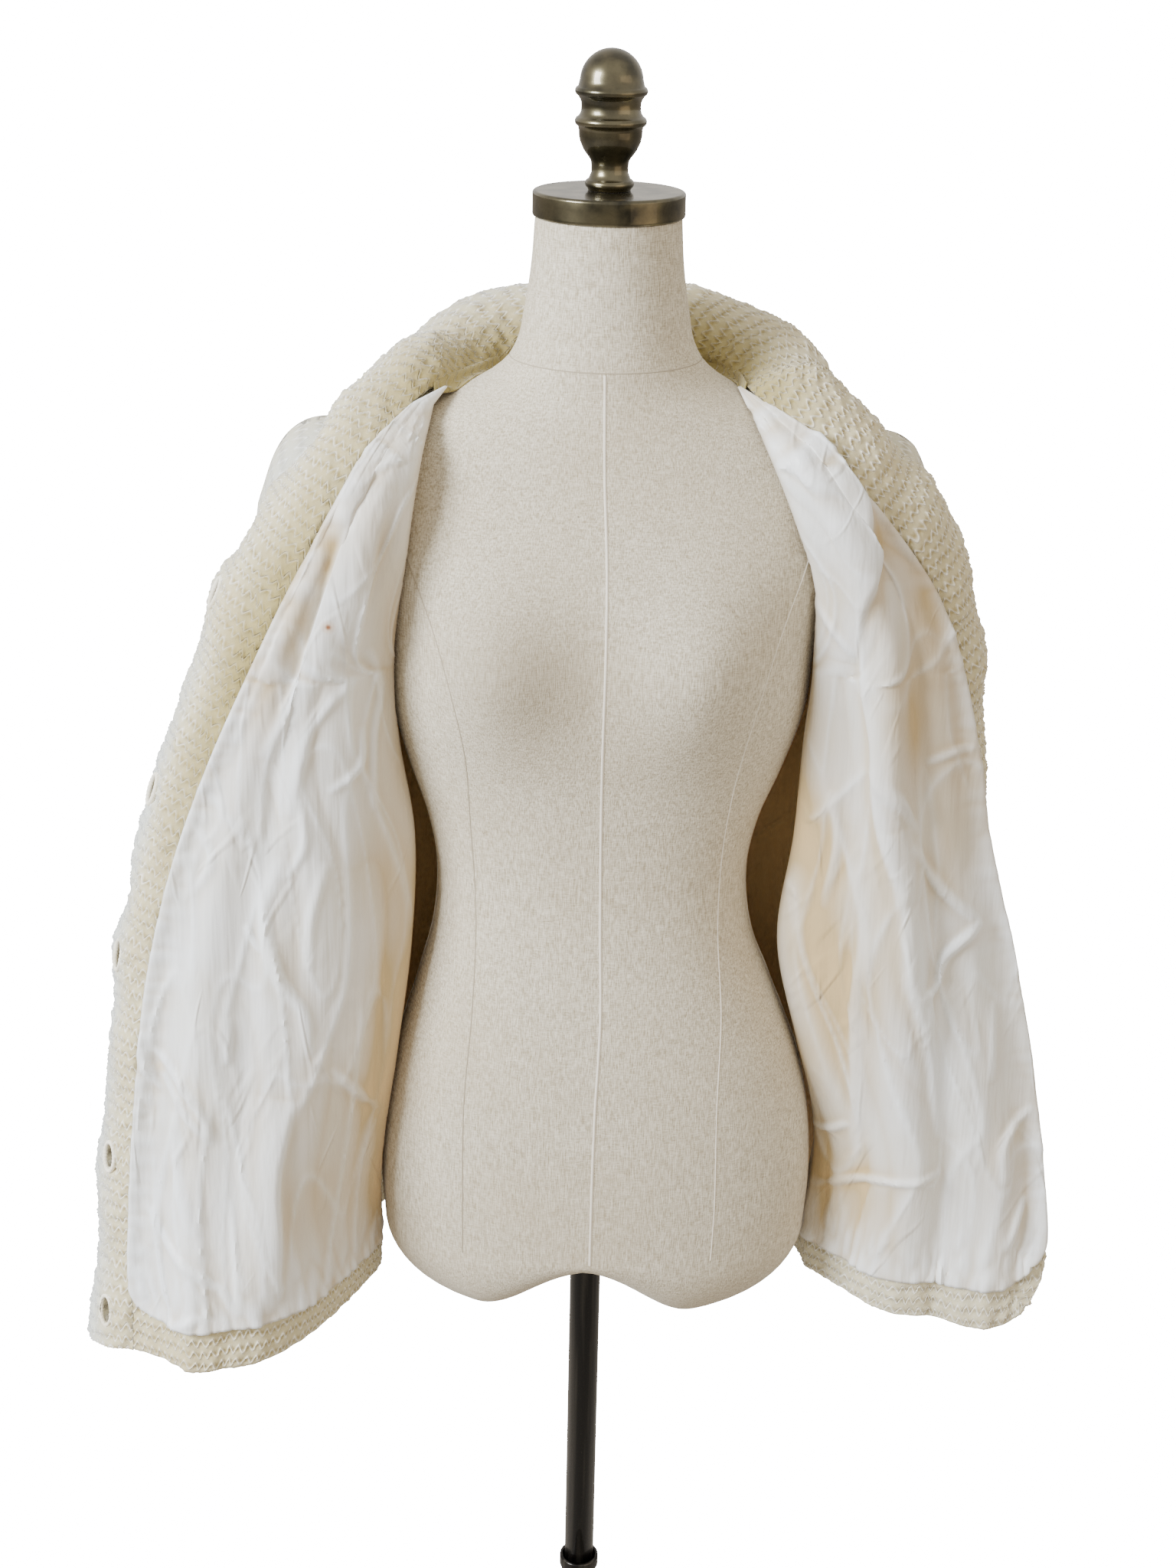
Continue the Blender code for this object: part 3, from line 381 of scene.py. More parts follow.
for name, profile in (("neck_cap", CAP_PROFILE), ("finial", FINIAL_PROFILE)):
    piece = turned(name + "_turned", profile, brass, "form")
    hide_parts(name)


# Fronts: two knit panels opened wide and turned out, on the same rows as the solids: side
# seam, inner bend, middle of the panel and the seam where the band is sewn on.
FRONT_COLUMNS = ("height", "side_x", "side_y", "bend_x", "bend_y", "mid_x", "mid_y",
                 "seam_x", "seam_y", "band_start", "band_end")
FRONT_UNITS = np.array([1000] * 9 + [1] * 2)
FRONT_ROWS = {
    "right": np.array((
        (652, 180, 40, 166, 0, 264, -150, 344, -124, 0, 120),
        (700, 180, 40, 163, -6, 260, -138, 344, -114, 6, 125),
        (780, 180, 38, 160, -26, 255, -118, 341, -104, 12, 125),
        (870, 177, 36, 148, -34, 246, -106, 333, -96, 18, 120),
        (960, 174, 34, 137, -30, 236, -98, 321, -90, 20, 115),
        (1050, 174, 32, 134, -30, 224, -92, 298, -88, 20, 112),
        (1130, 177, 30, 144, -36, 210, -90, 268, -88, 16, 106),
        (1188, 182, 30, 145, -44, 198, -90, 242, -90, 10, 100),
        (1260, 181.5, 30, 136, -60, 176, -92, 207, -92, 6, 96),
        (1310, 180, 30, 129, -66, 158, -90, 179, -88, 2, 96),
        (1343, 179, 29, 123, -56, 142, -78, 159, -76, 0, 100),
        (1376, 116, 4, 115, -12, 121, -28, 124, -31, -5, 108))) / FRONT_UNITS,
    "left": np.array((
        (652, 184, 58, 167, 30, 270, -58, 357, -58, 54, 152),
        (700, 186, 54, 173, 20, 268, -54, 361, -44, 72, 158),
        (780, 189, 48, 180, 8, 264, -54, 352, -32, 92, 160),
        (870, 186, 41, 161, -12, 250, -56, 336, -28, 92, 160),
        (960, 180, 36, 141, -14, 235, -58, 314, -28, 88, 156),
        (1050, 176, 32, 148, -20, 218, -60, 289, -30, 66, 152),
        (1130, 177, 30, 150, -30, 210, -62, 271, -34, 44, 148),
        (1188, 182, 30, 153, -36, 205, -64, 256, -40, 26, 140),
        (1260, 181.5, 30, 146, -48, 184, -72, 224, -52, 8, 112),
        (1310, 180, 30, 129, -60, 156, -80, 186, -66, 0, 98),
        (1343, 179, 29, 114, -54, 133, -72, 155, -64, -4, 94),
        (1380, 108, 2, 93, -12, 99, -28, 102, -31, -4, 96))) / FRONT_UNITS,
}
# Soft folds, placed by shares of the width from bend to band, with their depth in metres
FOLD_COLUMNS = ("at_hem", "at_top", "depth", "width")
FRONT_FOLDS = {
    "right": ((0.22, 0.35, 0.006, 0.10), (0.47, 0.62, -0.007, 0.10), (0.70, 0.82, 0.006, 0.08)),
    "left": ((0.30, 0.48, 0.012, 0.10), (0.50, 0.68, -0.007, 0.09), (0.76, 0.84, 0.005, 0.08)),
}
SIDES = {"right": -1, "left": 1}
HEM = 0.652
TURNED_UP = 0.044
HEM_BEND = 0.0022
LINING_HEM = 0.034
KNIT_CORNERS = {"right": 0.0, "left": 0.032}
LINING_CORNERS = {"right": 0.022, "left": 0.034}
UNDERARM = 1.188
NECK_SIDE = 0.118
NECK_SIDE_HIGH = 1.3745
SHOULDER_OUT = 0.180
SHOULDER_END = 1.340
FORM_CLEARANCE = 0.0059
KNIT_WALL = 0.0028
LINING_WALL = 0.0006
KNIT_GREY = 0.12


def clear_of_form(x, y, height):
    """The points, moved straight away from the form's axis where they would touch the form."""
    half, front, back, shift, power = form_row(np.maximum(height, FORM_RIM))
    clearance = FORM_CLEARANCE + 0.0036 * bell(height, 1.362, 0.018)
    deep = np.where(y > 0, back, front + bust(x - shift, height)) + clearance
    reach = (np.abs((x - shift) / (half + clearance)) ** power + np.abs(y / deep) ** power) ** (1 / power)
    reach = np.minimum(reach, 1.0)
    return shift + (x - shift) / reach, y / reach


def armhole_curve(height):
    """How far the armhole's edge lies in front of or behind its middle."""
    fraction = np.abs(height - (UNDERARM + SHOULDER_END) / 2) / ((SHOULDER_END - UNDERARM) / 2)
    return 0.046 * np.sqrt(1 - np.minimum(fraction, 1.0) ** 2)


def shoulder_seam(height):
    """Place of the shoulder seam at a height, from beside the neck out to the sleeve's head."""
    share = (NECK_SIDE_HIGH - height) / (NECK_SIDE_HIGH - SHOULDER_END)
    return NECK_SIDE + (SHOULDER_OUT - NECK_SIDE) * share, 0.006 + (0.030 - 0.006) * share


def drawn_in(points, label, hem, corner):
    """The points, drawn in round the lower corner where the hem meets the band."""
    seam = curve(FRONT_ROWS[label][:, 0], FRONT_ROWS[label][:, 7], points[..., 2])
    aside = np.clip(corner - (seam - np.abs(points[..., 0])), 0.0, corner)
    below = np.maximum(corner - (points[..., 2] - hem), 0.0)
    pull = 1 - np.maximum(aside, below) / np.maximum(np.hypot(aside, below), 0.000001)
    pull = np.where((aside > 0) & (below > 0), pull, 0.0)
    points[..., 0] -= SIDES[label] * aside * pull
    points[..., 2] += below * pull
    return points


def front_surface(label, stations, heights, hem=HEM, corner=0.0):
    """Lining side of a front. Stations run 0 side seam, 3 and 6 the bend, 10 middle, 15 band."""
    side = SIDES[label]
    table = FRONT_ROWS[label]
    rise = (heights - HEM) / (table[-1, 0] - HEM)
    grid = np.empty((len(heights), len(stations), 3))
    for i, row in enumerate(curve(table[:, 0], table[:, 1:9], heights)):
        side_x, side_y, bend_x, bend_y, mid_x, mid_y, seam_x, seam_y = row
        if heights[i] >= SHOULDER_END:
            side_x, side_y = shoulder_seam(heights[i])
        elif heights[i] > UNDERARM:
            side_y = 0.030 - armhole_curve(heights[i])
        knots = np.array(((side_x, side_y - 0.0006), (bend_x + 0.0035, bend_y + 0.010),
                          (bend_x + 0.0035, bend_y - 0.010), (mid_x, mid_y), (seam_x, seam_y)))
        spans = np.sqrt(np.linalg.norm(np.diff(knots, axis=0), axis=1))
        stops = np.concatenate([[0.0], np.cumsum(spans)])
        grid[i, :, :2] = curve(stops, knots, np.interp(stations, (0, 3, 6, 10, 15), stops))
    across = np.clip((stations - 6) / 9, 0, 1)[None, :]
    fading = (1 - rise[:, None] ** 3) * np.clip(np.sin(np.pi * across), 0, 1) ** 0.6
    for at_hem, at_top, depth, width in FRONT_FOLDS[label]:
        centre = at_hem + (at_top - at_hem) * rise[:, None]
        grid[..., 1] -= depth * bell(across, centre, width) * fading
    grid[..., 2] = heights[:, None]
    grid[..., 0], grid[..., 1] = clear_of_form(side * grid[..., 0], grid[..., 1], grid[..., 2])
    if label == "left":
        sag = 0.007 * bell(stations, 12.5, 2.6)[None, :]
        grid[..., 2] -= sag * (1 - ease(heights, HEM, HEM + 0.10))[:, None]
    return drawn_in(grid, label, hem, corner) if corner else grid


def facing(grid, side):
    """Unit vectors out of a grid, towards the lining where side is the wearer's side."""
    return unit(np.cross(np.gradient(grid, axis=1), np.gradient(grid, axis=0))) * side


def even_stations(label, step):
    """Stations that lie about one step apart on the panel's lower half."""
    stations = np.linspace(0, 15, 400)
    line = front_surface(label, stations, np.array([0.80]))[0]
    length = run_length(line)
    return np.interp(np.linspace(0, length[-1], int(length[-1] / step) + 1), length, stations)


def soft_noise(u, v, size, seed):
    """Smooth uneven field about -1 to 1, its lumps the given size across, in metres."""
    random = np.random.RandomState(seed)
    total = np.zeros(np.broadcast(u, v).shape)
    for _ in range(9):
        angle = random.uniform(0, 2 * np.pi)
        wave = 2 * np.pi / (size * random.uniform(1.4, 3.2))
        total += np.sin(wave * (u * np.cos(angle) + v * np.sin(angle)) + random.uniform(0, 2 * np.pi))
    return total / 3


STITCH = 0.0068
ROW = 0.0096
CHAIN_WAVE = 0.26
CHAIN_POWER = 6
HOLLOW_POWER = 1.2
GROUND_HIGH = 0.32


def stitch_counts(u, v, seed):
    """Stitches and rows counted along the cloth, a little uneven as in hand knitting."""
    stitches = u / STITCH + 0.16 * soft_noise(u, v, 0.012, seed)
    rows = v / ROW + 0.11 * soft_noise(u, v, 0.016, seed + 1)
    return stitches, rows


def stitch_relief(stitches, rows):
    """Height of the purl side, from 0 in a hollow to 1 on the wavy chain of loops."""
    wave = np.sin(2 * np.pi * stitches)
    row_turn = 2 * np.pi * (rows + CHAIN_WAVE * wave)
    chain = (0.5 + 0.5 * np.cos(row_turn)) ** CHAIN_POWER
    hollow = np.clip(wave * np.sin(row_turn), 0, 1) ** HOLLOW_POWER
    return np.maximum(chain, GROUND_HIGH * (1 - hollow))


def knit_weave(stitches, rows, tone):
    """What the knit material reads: the two counts, and a tone greyer over 0, browner under, for the yarn's
    own tone and for painted cool light and painted warm shade.
    """
    return np.stack(np.broadcast_arrays(stitches, rows, tone), axis=-1)


# Mohair-blend yarn, hand knit: cream chains of loops over a tan ground, dull and hazy, with painted shade
# in the hollows of the loops. The nodes draw the same relief from the counts kept with the grid as
# stitch_relief does.
knit = new_material("cream_mohair_knit", Roughness=0.95, Sheen_Weight=0.35, Specular_IOR_Level=0.15)
weave_at = add_node(knit, "Attribute", {}, attribute_name="weave")
counted = add_node(knit, "SeparateXYZ", {0: weave_at.outputs["Vector"]}).outputs
stitch_turn = add_node(knit, "Math", {0: counted[0], 1: 2 * math.pi}, operation="MULTIPLY")
wave = add_node(knit, "Math", {0: stitch_turn}, operation="SINE")
wavy_row = add_node(knit, "Math", {0: wave, 1: CHAIN_WAVE, 2: counted[1]}, operation="MULTIPLY_ADD")
row_turn = add_node(knit, "Math", {0: wavy_row, 1: 2 * math.pi}, operation="MULTIPLY")
row_wave = add_node(knit, "Math", {0: row_turn}, operation="COSINE")
row_share = add_node(knit, "MapRange", {0: row_wave, 1: -1.0, 2: 1.0})
chain = add_node(knit, "Math", {0: row_share, 1: CHAIN_POWER}, operation="POWER")
beside_row = add_node(knit, "Math", {0: row_turn}, operation="SINE")
inside_loop = add_node(knit, "Math", {0: wave, 1: beside_row}, operation="MULTIPLY", use_clamp=True)
hollow = add_node(knit, "Math", {0: inside_loop, 1: HOLLOW_POWER}, operation="POWER")
ground = add_node(knit, "MapRange", {0: hollow, 3: GROUND_HIGH, 4: 0.0})
relief = add_node(knit, "Math", {0: chain, 1: ground}, operation="MAXIMUM")
where = add_node(knit, "TexCoord", {}).outputs["Object"]
haze = add_node(knit, "TexNoise", {"Vector": where, "Scale": 240.0, "Detail": 4.0, "Roughness": 0.7})
tufts = add_node(knit, "TexNoise", {"Vector": where, "Scale": 38.0})
tone = to_linear(0xD3C9A2)
for share, colour in (
        # painted shade: the hollows inside the loops are darker tan
        (hollow, 0xA39264), (chain, 0xFFF9E6),
        (add_node(knit, "MapRange", {0: haze, 1: 0.45, 2: 0.75, 4: 0.3}), 0xF0E8CC),
        (add_node(knit, "MapRange", {0: tufts, 1: 0.45, 2: 0.75, 4: 0.35}), 0xC9B788),
        # the weave's tone: greyer over 0 and browner under 0, both the yarn's own tone and painted cool
        # light and warm shade
        (add_node(knit, "MapRange", {0: counted[2], 4: 0.72}), 0xD9E5EC),
        (add_node(knit, "MapRange", {0: counted[2], 2: -1.0}), 0x9A8A4E)):
    tone = add_node(knit, "Mix", {0: share, 6: tone, 7: to_linear(colour)}, data_type="RGBA")
fuzz = add_node(knit, "Math", {0: haze, 1: 0.35, 2: relief}, operation="MULTIPLY_ADD")
knit_bump = add_node(knit, "Bump", {"Height": fuzz, "Strength": 0.8, "Distance": 0.0012})
set_shader(knit, Base_Color=tone, Normal=knit_bump)


def add_wall(piece, thickness, offset):
    """Gives an open grid its wall: offset 1 on the side it faces, -1 on the other."""
    wall = piece.modifiers.new("wall", "SOLIDIFY")
    wall.thickness = thickness
    wall.offset = offset
    wall.use_even_offset = False


for label, side in SIDES.items():
    top = FRONT_ROWS[label][-1, 0] - 0.0056
    stations = even_stations(label, 0.0060)
    heights = np.linspace(HEM + 0.002, top, 116)
    points = front_surface(label, stations, heights, HEM, KNIT_CORNERS[label])
    across = run_length(points, 1)
    lumps = 0.0011 * soft_noise(across, heights[:, None], 0.05, 11) * ease(stations, 0.0, 2.0)
    points = points - facing(points, side) * (0.0002 + np.abs(lumps))[..., None]
    weave = knit_weave(*stitch_counts(across, heights[:, None], 21), KNIT_GREY)
    panel = grid_piece(label + "_front_knit", points, knit, weave)
    add_wall(panel, KNIT_WALL, side * -1)
    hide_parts(label + "_front")

# Turned-up hems of the fronts: a knit strip folded round the lower edge, its purl side to the
# lining. One grid down the outer face, round the edge and up inside, its chains of loops raised.
for label, side in SIDES.items():
    stations = even_stations(label, 0.0012)
    levels = np.concatenate([np.linspace(TURNED_UP, HEM_BEND, 36), np.zeros(5),
                             np.linspace(HEM_BEND, TURNED_UP, 24)])
    swing = np.concatenate([np.zeros(36), np.linspace(0, 1, 7)[1:-1], np.ones(24)])
    bend = 0.0026 * (1 - np.sin(np.pi * swing))
    heights = HEM + np.where((swing > 0) & (swing < 1), bend, levels)
    points = front_surface(label, stations, heights, HEM, KNIT_CORNERS[label])
    out = facing(front_surface(label, stations, np.linspace(HEM, HEM + 0.05, 5)), side)[0]
    across = run_length(points[0])[None, :]
    around_edge = run_length(np.stack([heights, swing * 0.006], axis=-1))[:, None]
    stitches, rows = stitch_counts(across, around_edge, 31)
    raised = 0.0013 * stitch_relief(stitches, rows) + 0.0006 * soft_noise(across, around_edge, 0.006, 33)
    level = 0.0009 - 0.0048 * swing[:, None] + raised * np.cos(np.pi * swing)[:, None]
    points = points + out[None] * level[..., None]
    points[..., 2] -= 0.4 * raised * np.sin(np.pi * swing)[:, None]
    weave = knit_weave(stitches, rows, -0.12 if side < 0 else 0.15)
    strip = grid_piece(label + "_hem_knit", points, knit, weave)
    width, length, area = {"right": (0.31, 0.85, 0.190), "left": (0.27, 0.86, 0.173)}[label]


# Front bands that go on as a shawl collar: a doubled knit strip sewn to the front edge and the
# back neck, curling outwards. A closed grid round its section, with the stitches raised.
COLLAR_COLUMNS = ("seam_x", "seam_y", "height", "right_start", "right_end", "left_start", "left_end")
COLLAR_ROWS = np.array((
    (90, 24, 1382, -14, 98, -12, 96),
    (72, 55, 1384, -20, 90, -20, 90),
    (42, 73, 1389, -20, 90, -20, 90),
    (0, 79, 1391, -20, 90, -20, 90),
)) / ([1000] * 3 + [1] * 4)
BAND_WIDTH = 0.078
BUTTON_HEIGHTS = (1.218, 1.079, 0.957, 0.802, 0.680)
HOLES_ACROSS = (0.058, 0.044, 0.036, 0.024, 0.024)


def form_top(x, y):
    """Height of the form's shoulder under each place."""
    heights = np.linspace(1.25, 1.44, 96)
    half, front, back, shift, power = form_row(heights)
    deep = np.where(y[..., None] > 0, back, front)
    inside = np.abs((x[..., None] - shift) / half) ** power + np.abs(y[..., None] / deep) ** power <= 1
    return heights[np.where(inside.any(axis=-1), 95 - inside[..., ::-1].argmax(axis=-1), 0)]


class Band:
    """Seam line of a band and the curl of its strip along it."""

    def __init__(self, label):
        self.side = SIDES[label]
        self.outwards = 0.20 if label == "left" else 0.0
        front = FRONT_ROWS[label][:, (7, 8, 0, 9, 10)] * (self.side, 1, 1, 1, 1)
        columns = (0, 1, 2, 3, 4) if label == "right" else (0, 1, 2, 5, 6)
        self.knots = np.concatenate([front, COLLAR_ROWS[:, columns] * (self.side, 1, 1, 1, 1)])
        self.stops = run_length(self.knots[:, :3])
        self.length = self.stops[-1]
        self.front_rows = len(front)

    def read(self, along):
        return curve(self.stops, self.knots, along)

    def along_at(self, height):
        return float(curve(self.knots[:self.front_rows, 2], self.stops[:self.front_rows], height))

    def surface(self, along, across):
        """Lining side of the strip, and the unit vectors out of that side."""
        along = np.asarray(along, float)
        seam = self.read(along)
        tangent = unit(self.read(along + 0.004)[:, :3] - self.read(along - 0.004)[:, :3])
        height = seam[:, 2]
        back = np.stack([self.outwards * self.side * ease(height, 1.340, 1.380), np.ones_like(height),
                         -0.41 * ease(height, 1.250, 1.340)], axis=-1)
        back = unit(back - np.sum(back * tangent, axis=-1, keepdims=True) * tangent)
        out = np.cross(tangent, back) * -self.side
        start, end = np.radians(seam[:, 3:5]).T[..., None]
        turn = (end - start) / BAND_WIDTH
        angle = start + turn * across
        outward = (np.sin(angle) - np.sin(start)) / turn
        curled = (np.cos(start) - np.cos(angle)) / turn + 0.003 * np.maximum(np.sin(start), 0)
        if self.side < 0:
            near = sum(bell(height, at, 0.030) for at in BUTTON_HEIGHTS)[:, None]
            outward = outward + 0.005 * near * np.sin(np.pi / 2 * np.clip(across / BAND_WIDTH, 0, 1)) ** 2
        points = seam[:, None, :3] + out[:, None] * outward[..., None] + back[:, None] * curled[..., None]
        normal = out[:, None] * np.sin(angle)[..., None] - back[:, None] * np.cos(angle)[..., None]
        return points, normal


bands = {label: Band(label) for label in SIDES}
FACE_COLUMNS = 72
EDGE_COLUMNS = 7
BACK_COLUMNS = 30
HOLE_LENGTH = 0.021
HOLE_WIDTH = 0.0085
HOLE_REACH = 0.014
BAND_EDGE = 0.0022
BAND_START = 0.0011
for label, side in SIDES.items():
    band = bands[label]
    along = np.linspace(0.0, band.length - 0.0006, int(band.length / 0.0015))
    face = np.linspace(BAND_START, BAND_WIDTH - BAND_EDGE, FACE_COLUMNS)
    bend = np.linspace(-np.pi / 2, np.pi / 2, EDGE_COLUMNS + 2)[1:-1]
    across = np.concatenate([face, BAND_WIDTH - BAND_EDGE + BAND_EDGE * np.cos(bend),
                             np.linspace(BAND_WIDTH - BAND_EDGE, BAND_START, BACK_COLUMNS)])
    level = np.concatenate([np.zeros(FACE_COLUMNS), 0.5 + 0.5 * np.sin(bend), np.ones(BACK_COLUMNS)])
    across = np.append(across, across[0])
    level = np.append(level, 0.0)
    flat = np.broadcast_to(across, (len(along), len(across))).copy()
    slits = []
    if label == "right":
        for height, middle in zip(BUTTON_HEIGHTS, HOLES_ACROSS):
            columns = np.flatnonzero(np.diff(across > middle))
            apart = along - band.along_at(height)
            rows_cut = np.flatnonzero(np.abs(apart) < HOLE_LENGTH / 2)
            slits.append((rows_cut[0], rows_cut[-1] - 1, *columns))
            opening = HOLE_WIDTH / 2 * np.sqrt(np.clip(1 - (apart / (HOLE_LENGTH / 2)) ** 2, 0, 1))[:, None]
            aside = flat - middle
            near = np.abs(aside) < HOLE_REACH
            pushed = np.sign(aside) * (opening + np.abs(aside) * (1 - opening / HOLE_REACH))
            flat = np.where(near, middle + pushed, flat)
    points, normal = band.surface(along, flat)
    round_strip = run_length(np.stack([across, level * 0.005], axis=-1))[None, :]
    stitches, rows = stitch_counts(round_strip, along[:, None], 41 + side)
    raised = 0.0015 * stitch_relief(stitches, rows)
    raised += 0.0007 * soft_noise(round_strip, along[:, None], 0.007, 43 + side)
    raised += 0.0018 * soft_noise(round_strip, along[:, None], 0.035, 45 + side)
    raised *= ease(across, 0.0, 0.006)[None, :]
    offset = 0.0002 - 0.0052 * level[None, :] + raised * np.cos(np.pi * level)[None, :]
    sideways = unit(np.gradient(points[:, :FACE_COLUMNS], axis=1))[:, -1:]
    points = points + normal * offset[..., None] + sideways * (raised * np.sin(np.pi * level))[..., None]
    points[:, -1] = points[:, 0]
    if KNIT_CORNERS[label]:
        points = drawn_in(points, label, HEM, KNIT_CORNERS[label])
    height = band.read(along)[:, 2:3]
    # Painted light and shade in the weave's tone: cool grey painted light over the outer part of the right
    # band, fading up the chest; warm brown painted shade near the lining seam, round the chest and at the
    # collar's top; the back face a little grey
    painted_light_most, painted_shade_top, painted_shade_most = (0.85, 0.5, 0.85) if side < 0 else (0.15, 0.8, 0.15)
    grey = ease(across, 0.012, 0.050)[None, :] * painted_light_most
    grey = grey * (1 - 0.75 * ease(height, 1.08, 1.24))
    brown = ease(height, 1.345, 1.385) * painted_shade_top + painted_shade_most * bell(height, 1.20, 0.18)
    shade = np.where(level < 0.5, grey - brown * ease(across, 0.066, 0.0), 0.2)
    weave = knit_weave(stitches, rows, shade)
    strip = grid_piece(label + "_band_knit", points, knit, weave, around=True, slits=slits)
    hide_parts(label + "_band")


def softened(field, rounds):
    """The field with every value mixed with its neighbours', over and over."""
    for _ in range(rounds):
        field = np.pad(field, 1, mode="edge")
        field = (field[:-2, 1:-1] + field[2:, 1:-1] + field[1:-1, :-2] + field[1:-1, 2:]) / 4
    return field


# Inner edge of the shawl collar: the same knit, tucked down on the form's shoulder from the tip
# of each lining to the back neck, so that no gap shows there. A grid along the band's seam.
LINING_TIPS = {"right": 0.022, "left": 0.027}
on_bands = {}
for label, side in SIDES.items():
    band = bands[label]
    tip = band.stops[band.front_rows - 1] + LINING_TIPS[label]
    along = np.linspace(tip - 0.010, band.length - 0.0006, 130)
    seam = band.read(along)[:, :3]
    reach = np.linspace(-0.006, 0.013, 17)
    growing = ease(along, tip - 0.010, tip + 0.030)[:, None]
    reach = reach[None, :] * (0.30 + 0.70 * growing)
    x = seam[:, :1] - side * 0.30 * reach
    y = seam[:, 1:2] - 0.95 * reach
    stitches, rows = stitch_counts(reach, along[:, None], 48)
    raised = 0.0012 * stitch_relief(stitches, rows)
    under = form_top(x, y) + 0.0016 + raised * 0.5
    share = ease(reach, 0.0, 0.011)
    z = np.maximum(under, seam[:, 2:3] * (1 - share) + under * share - 0.0006)
    z = softened(np.minimum(z, seam[:, 2:3] + 0.0030), 5) + 0.0040 * ease(reach, 0.0035, -0.0025)
    points = np.stack([x, y, z], axis=-1)
    # Its tone of -0.9 browns the knit as painted shade under the collar
    tuck = grid_piece(label + "_collar_tuck", points, knit, knit_weave(stitches, rows, -0.9))
    add_wall(tuck, 0.0010, 0)
    on_bands[label] = [tuck]


# Buttonhole edges: a ring of cream yarn worked over and over round each opening, raised above
# the band. A grid round an oval, swelling at each stitch.
for number, (height, middle) in enumerate(zip(BUTTON_HEIGHTS, HOLES_ACROSS), start=1):
    band = bands["right"]
    turn = np.linspace(0, 2 * np.pi, 97)
    along = band.along_at(height) + (HOLE_LENGTH / 2 + 0.0010) * np.sin(turn)
    across = middle + (HOLE_WIDTH / 2 + 0.0012) * np.cos(turn)
    centre, normal = band.surface(along, across[:, None])
    centre, normal = centre[:, 0], normal[:, 0]
    outwards = unit(centre - centre[:-1].mean(axis=0))
    section = np.linspace(0, 2 * np.pi, 10)
    thick = (0.0015 + 0.0003 * np.abs(np.sin(turn * 11)))[:, None, None]
    points = (centre[:, None] + outwards[:, None] * (thick * np.cos(section)[None, :, None])
              + normal[:, None] * (0.0008 + 1.1 * thick * np.sin(section)[None, :, None]))
    points[-1] = points[0]
    weave = knit_weave(np.zeros(points.shape[:2]), 1.0, 0.0)
    rim = grid_piece("buttonhole_edge_%d" % number, points, knit, weave, around=True)
    on_bands["right"].append(rim)


# Back: one knit panel round the back of the form, from side seam to side seam and up to the
# shoulders and the neck, smooth but for soft drag folds. Its loops are drawn by the material.
BACK_PROFILE_COLUMNS = ("height", "depth")
BACK_ROWS = np.array(((652, 152), (760, 138), (860, 126), (950, 117), (1050, 112), (1130, 110),
                      (1188, 110))) / 1000
NECK_EDGE_COLUMNS = ("across", "y", "height")
NECK_EDGE = np.array(((0, 79, 1389.2), (42, 73, 1387), (72, 55, 1379.4), (90, 24, 1376.4),
                      (118, 6.6, 1374.5))) / 1000


def back_lower(height, turn):
    """Points below the underarm; turn is -1 at the right side seam and 1 at the left one."""
    right = curve(FRONT_ROWS["right"][:, 0], FRONT_ROWS["right"][:, 1:3], height)
    left = curve(FRONT_ROWS["left"][:, 0], FRONT_ROWS["left"][:, 1:3], height)
    depth = curve(BACK_ROWS[:, 0], BACK_ROWS[:, 1], height)
    angle = turn * np.pi / 2
    across = np.sign(angle) * np.abs(np.sin(angle)) ** 0.82
    share = (across + 1) / 2
    side_y = right[..., 1] * (1 - share) + left[..., 1] * share + 0.0006
    x = (left[..., 0] - right[..., 0]) / 2 + (left[..., 0] + right[..., 0]) / 2 * across
    y = side_y + (depth - side_y) * np.abs(np.cos(angle)) ** 0.78
    x, y = clear_of_form(x, y, height)
    return np.stack(np.broadcast_arrays(x, y, height), axis=-1)


def back_yoke(turn, rise):
    """Points between the underarm and the top edge, with the armhole's curve at the sides."""
    low = back_lower(np.full_like(turn, UNDERARM), turn)
    x = np.abs(turn) * SHOULDER_OUT
    neck = curve(NECK_EDGE[:, 0], NECK_EDGE[:, 1:], x)
    slope = (x - NECK_SIDE) / (SHOULDER_OUT - NECK_SIDE)
    slope_z = NECK_SIDE_HIGH + (SHOULDER_END - NECK_SIDE_HIGH) * slope
    slope_y = shoulder_seam(slope_z)[1] + 0.0006
    high_y = np.where(x > NECK_SIDE, slope_y, neck[..., 0])
    high_z = np.where(x > NECK_SIDE, slope_z, neck[..., 1])
    px = low[..., 0] + (np.sign(turn) * x - low[..., 0]) * rise
    py = low[..., 1] + (high_y - low[..., 1]) * rise ** 2.4
    pz = low[..., 2] + (high_z - low[..., 2]) * rise
    py = py + armhole_curve(pz) * ease(np.abs(turn), 0.55, 1.0)
    px, py = clear_of_form(px, py, pz)
    return np.stack([px, py, pz], axis=-1)


def back_surface(turns, lower_count, upper_count):
    heights = np.linspace(HEM + 0.002, UNDERARM, lower_count)
    lower = back_lower(heights[:, None] + 0 * turns, turns[None, :] + 0 * heights[:, None])
    rises = 1 - (1 - np.linspace(0, 1, upper_count)[1:]) ** 1.4
    upper = back_yoke(turns[None, :] + 0 * rises[:, None], rises[:, None] + 0 * turns)
    return np.concatenate([lower, upper])


turns = np.linspace(-1, 1, 100)
points = back_surface(turns, 86, 36)
across = run_length(points, 1)
along = run_length(points)
drag = 0.0016 * np.abs(soft_noise(across, along * 0.35, 0.05, 51))
drag *= ease(1 - np.abs(turns), 0.0, 0.15)[None, :]
inner = facing(points, 1)
outer_points = points - inner * (0.0002 + drag)[..., None]
weave = knit_weave(*stitch_counts(across, along, 53), KNIT_GREY)
back_panel = grid_piece("back_knit", outer_points, knit, weave)
add_wall(back_panel, KNIT_WALL, -1)
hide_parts("back")

back_lining_points = (points + inner * 0.0011)[8:-3]


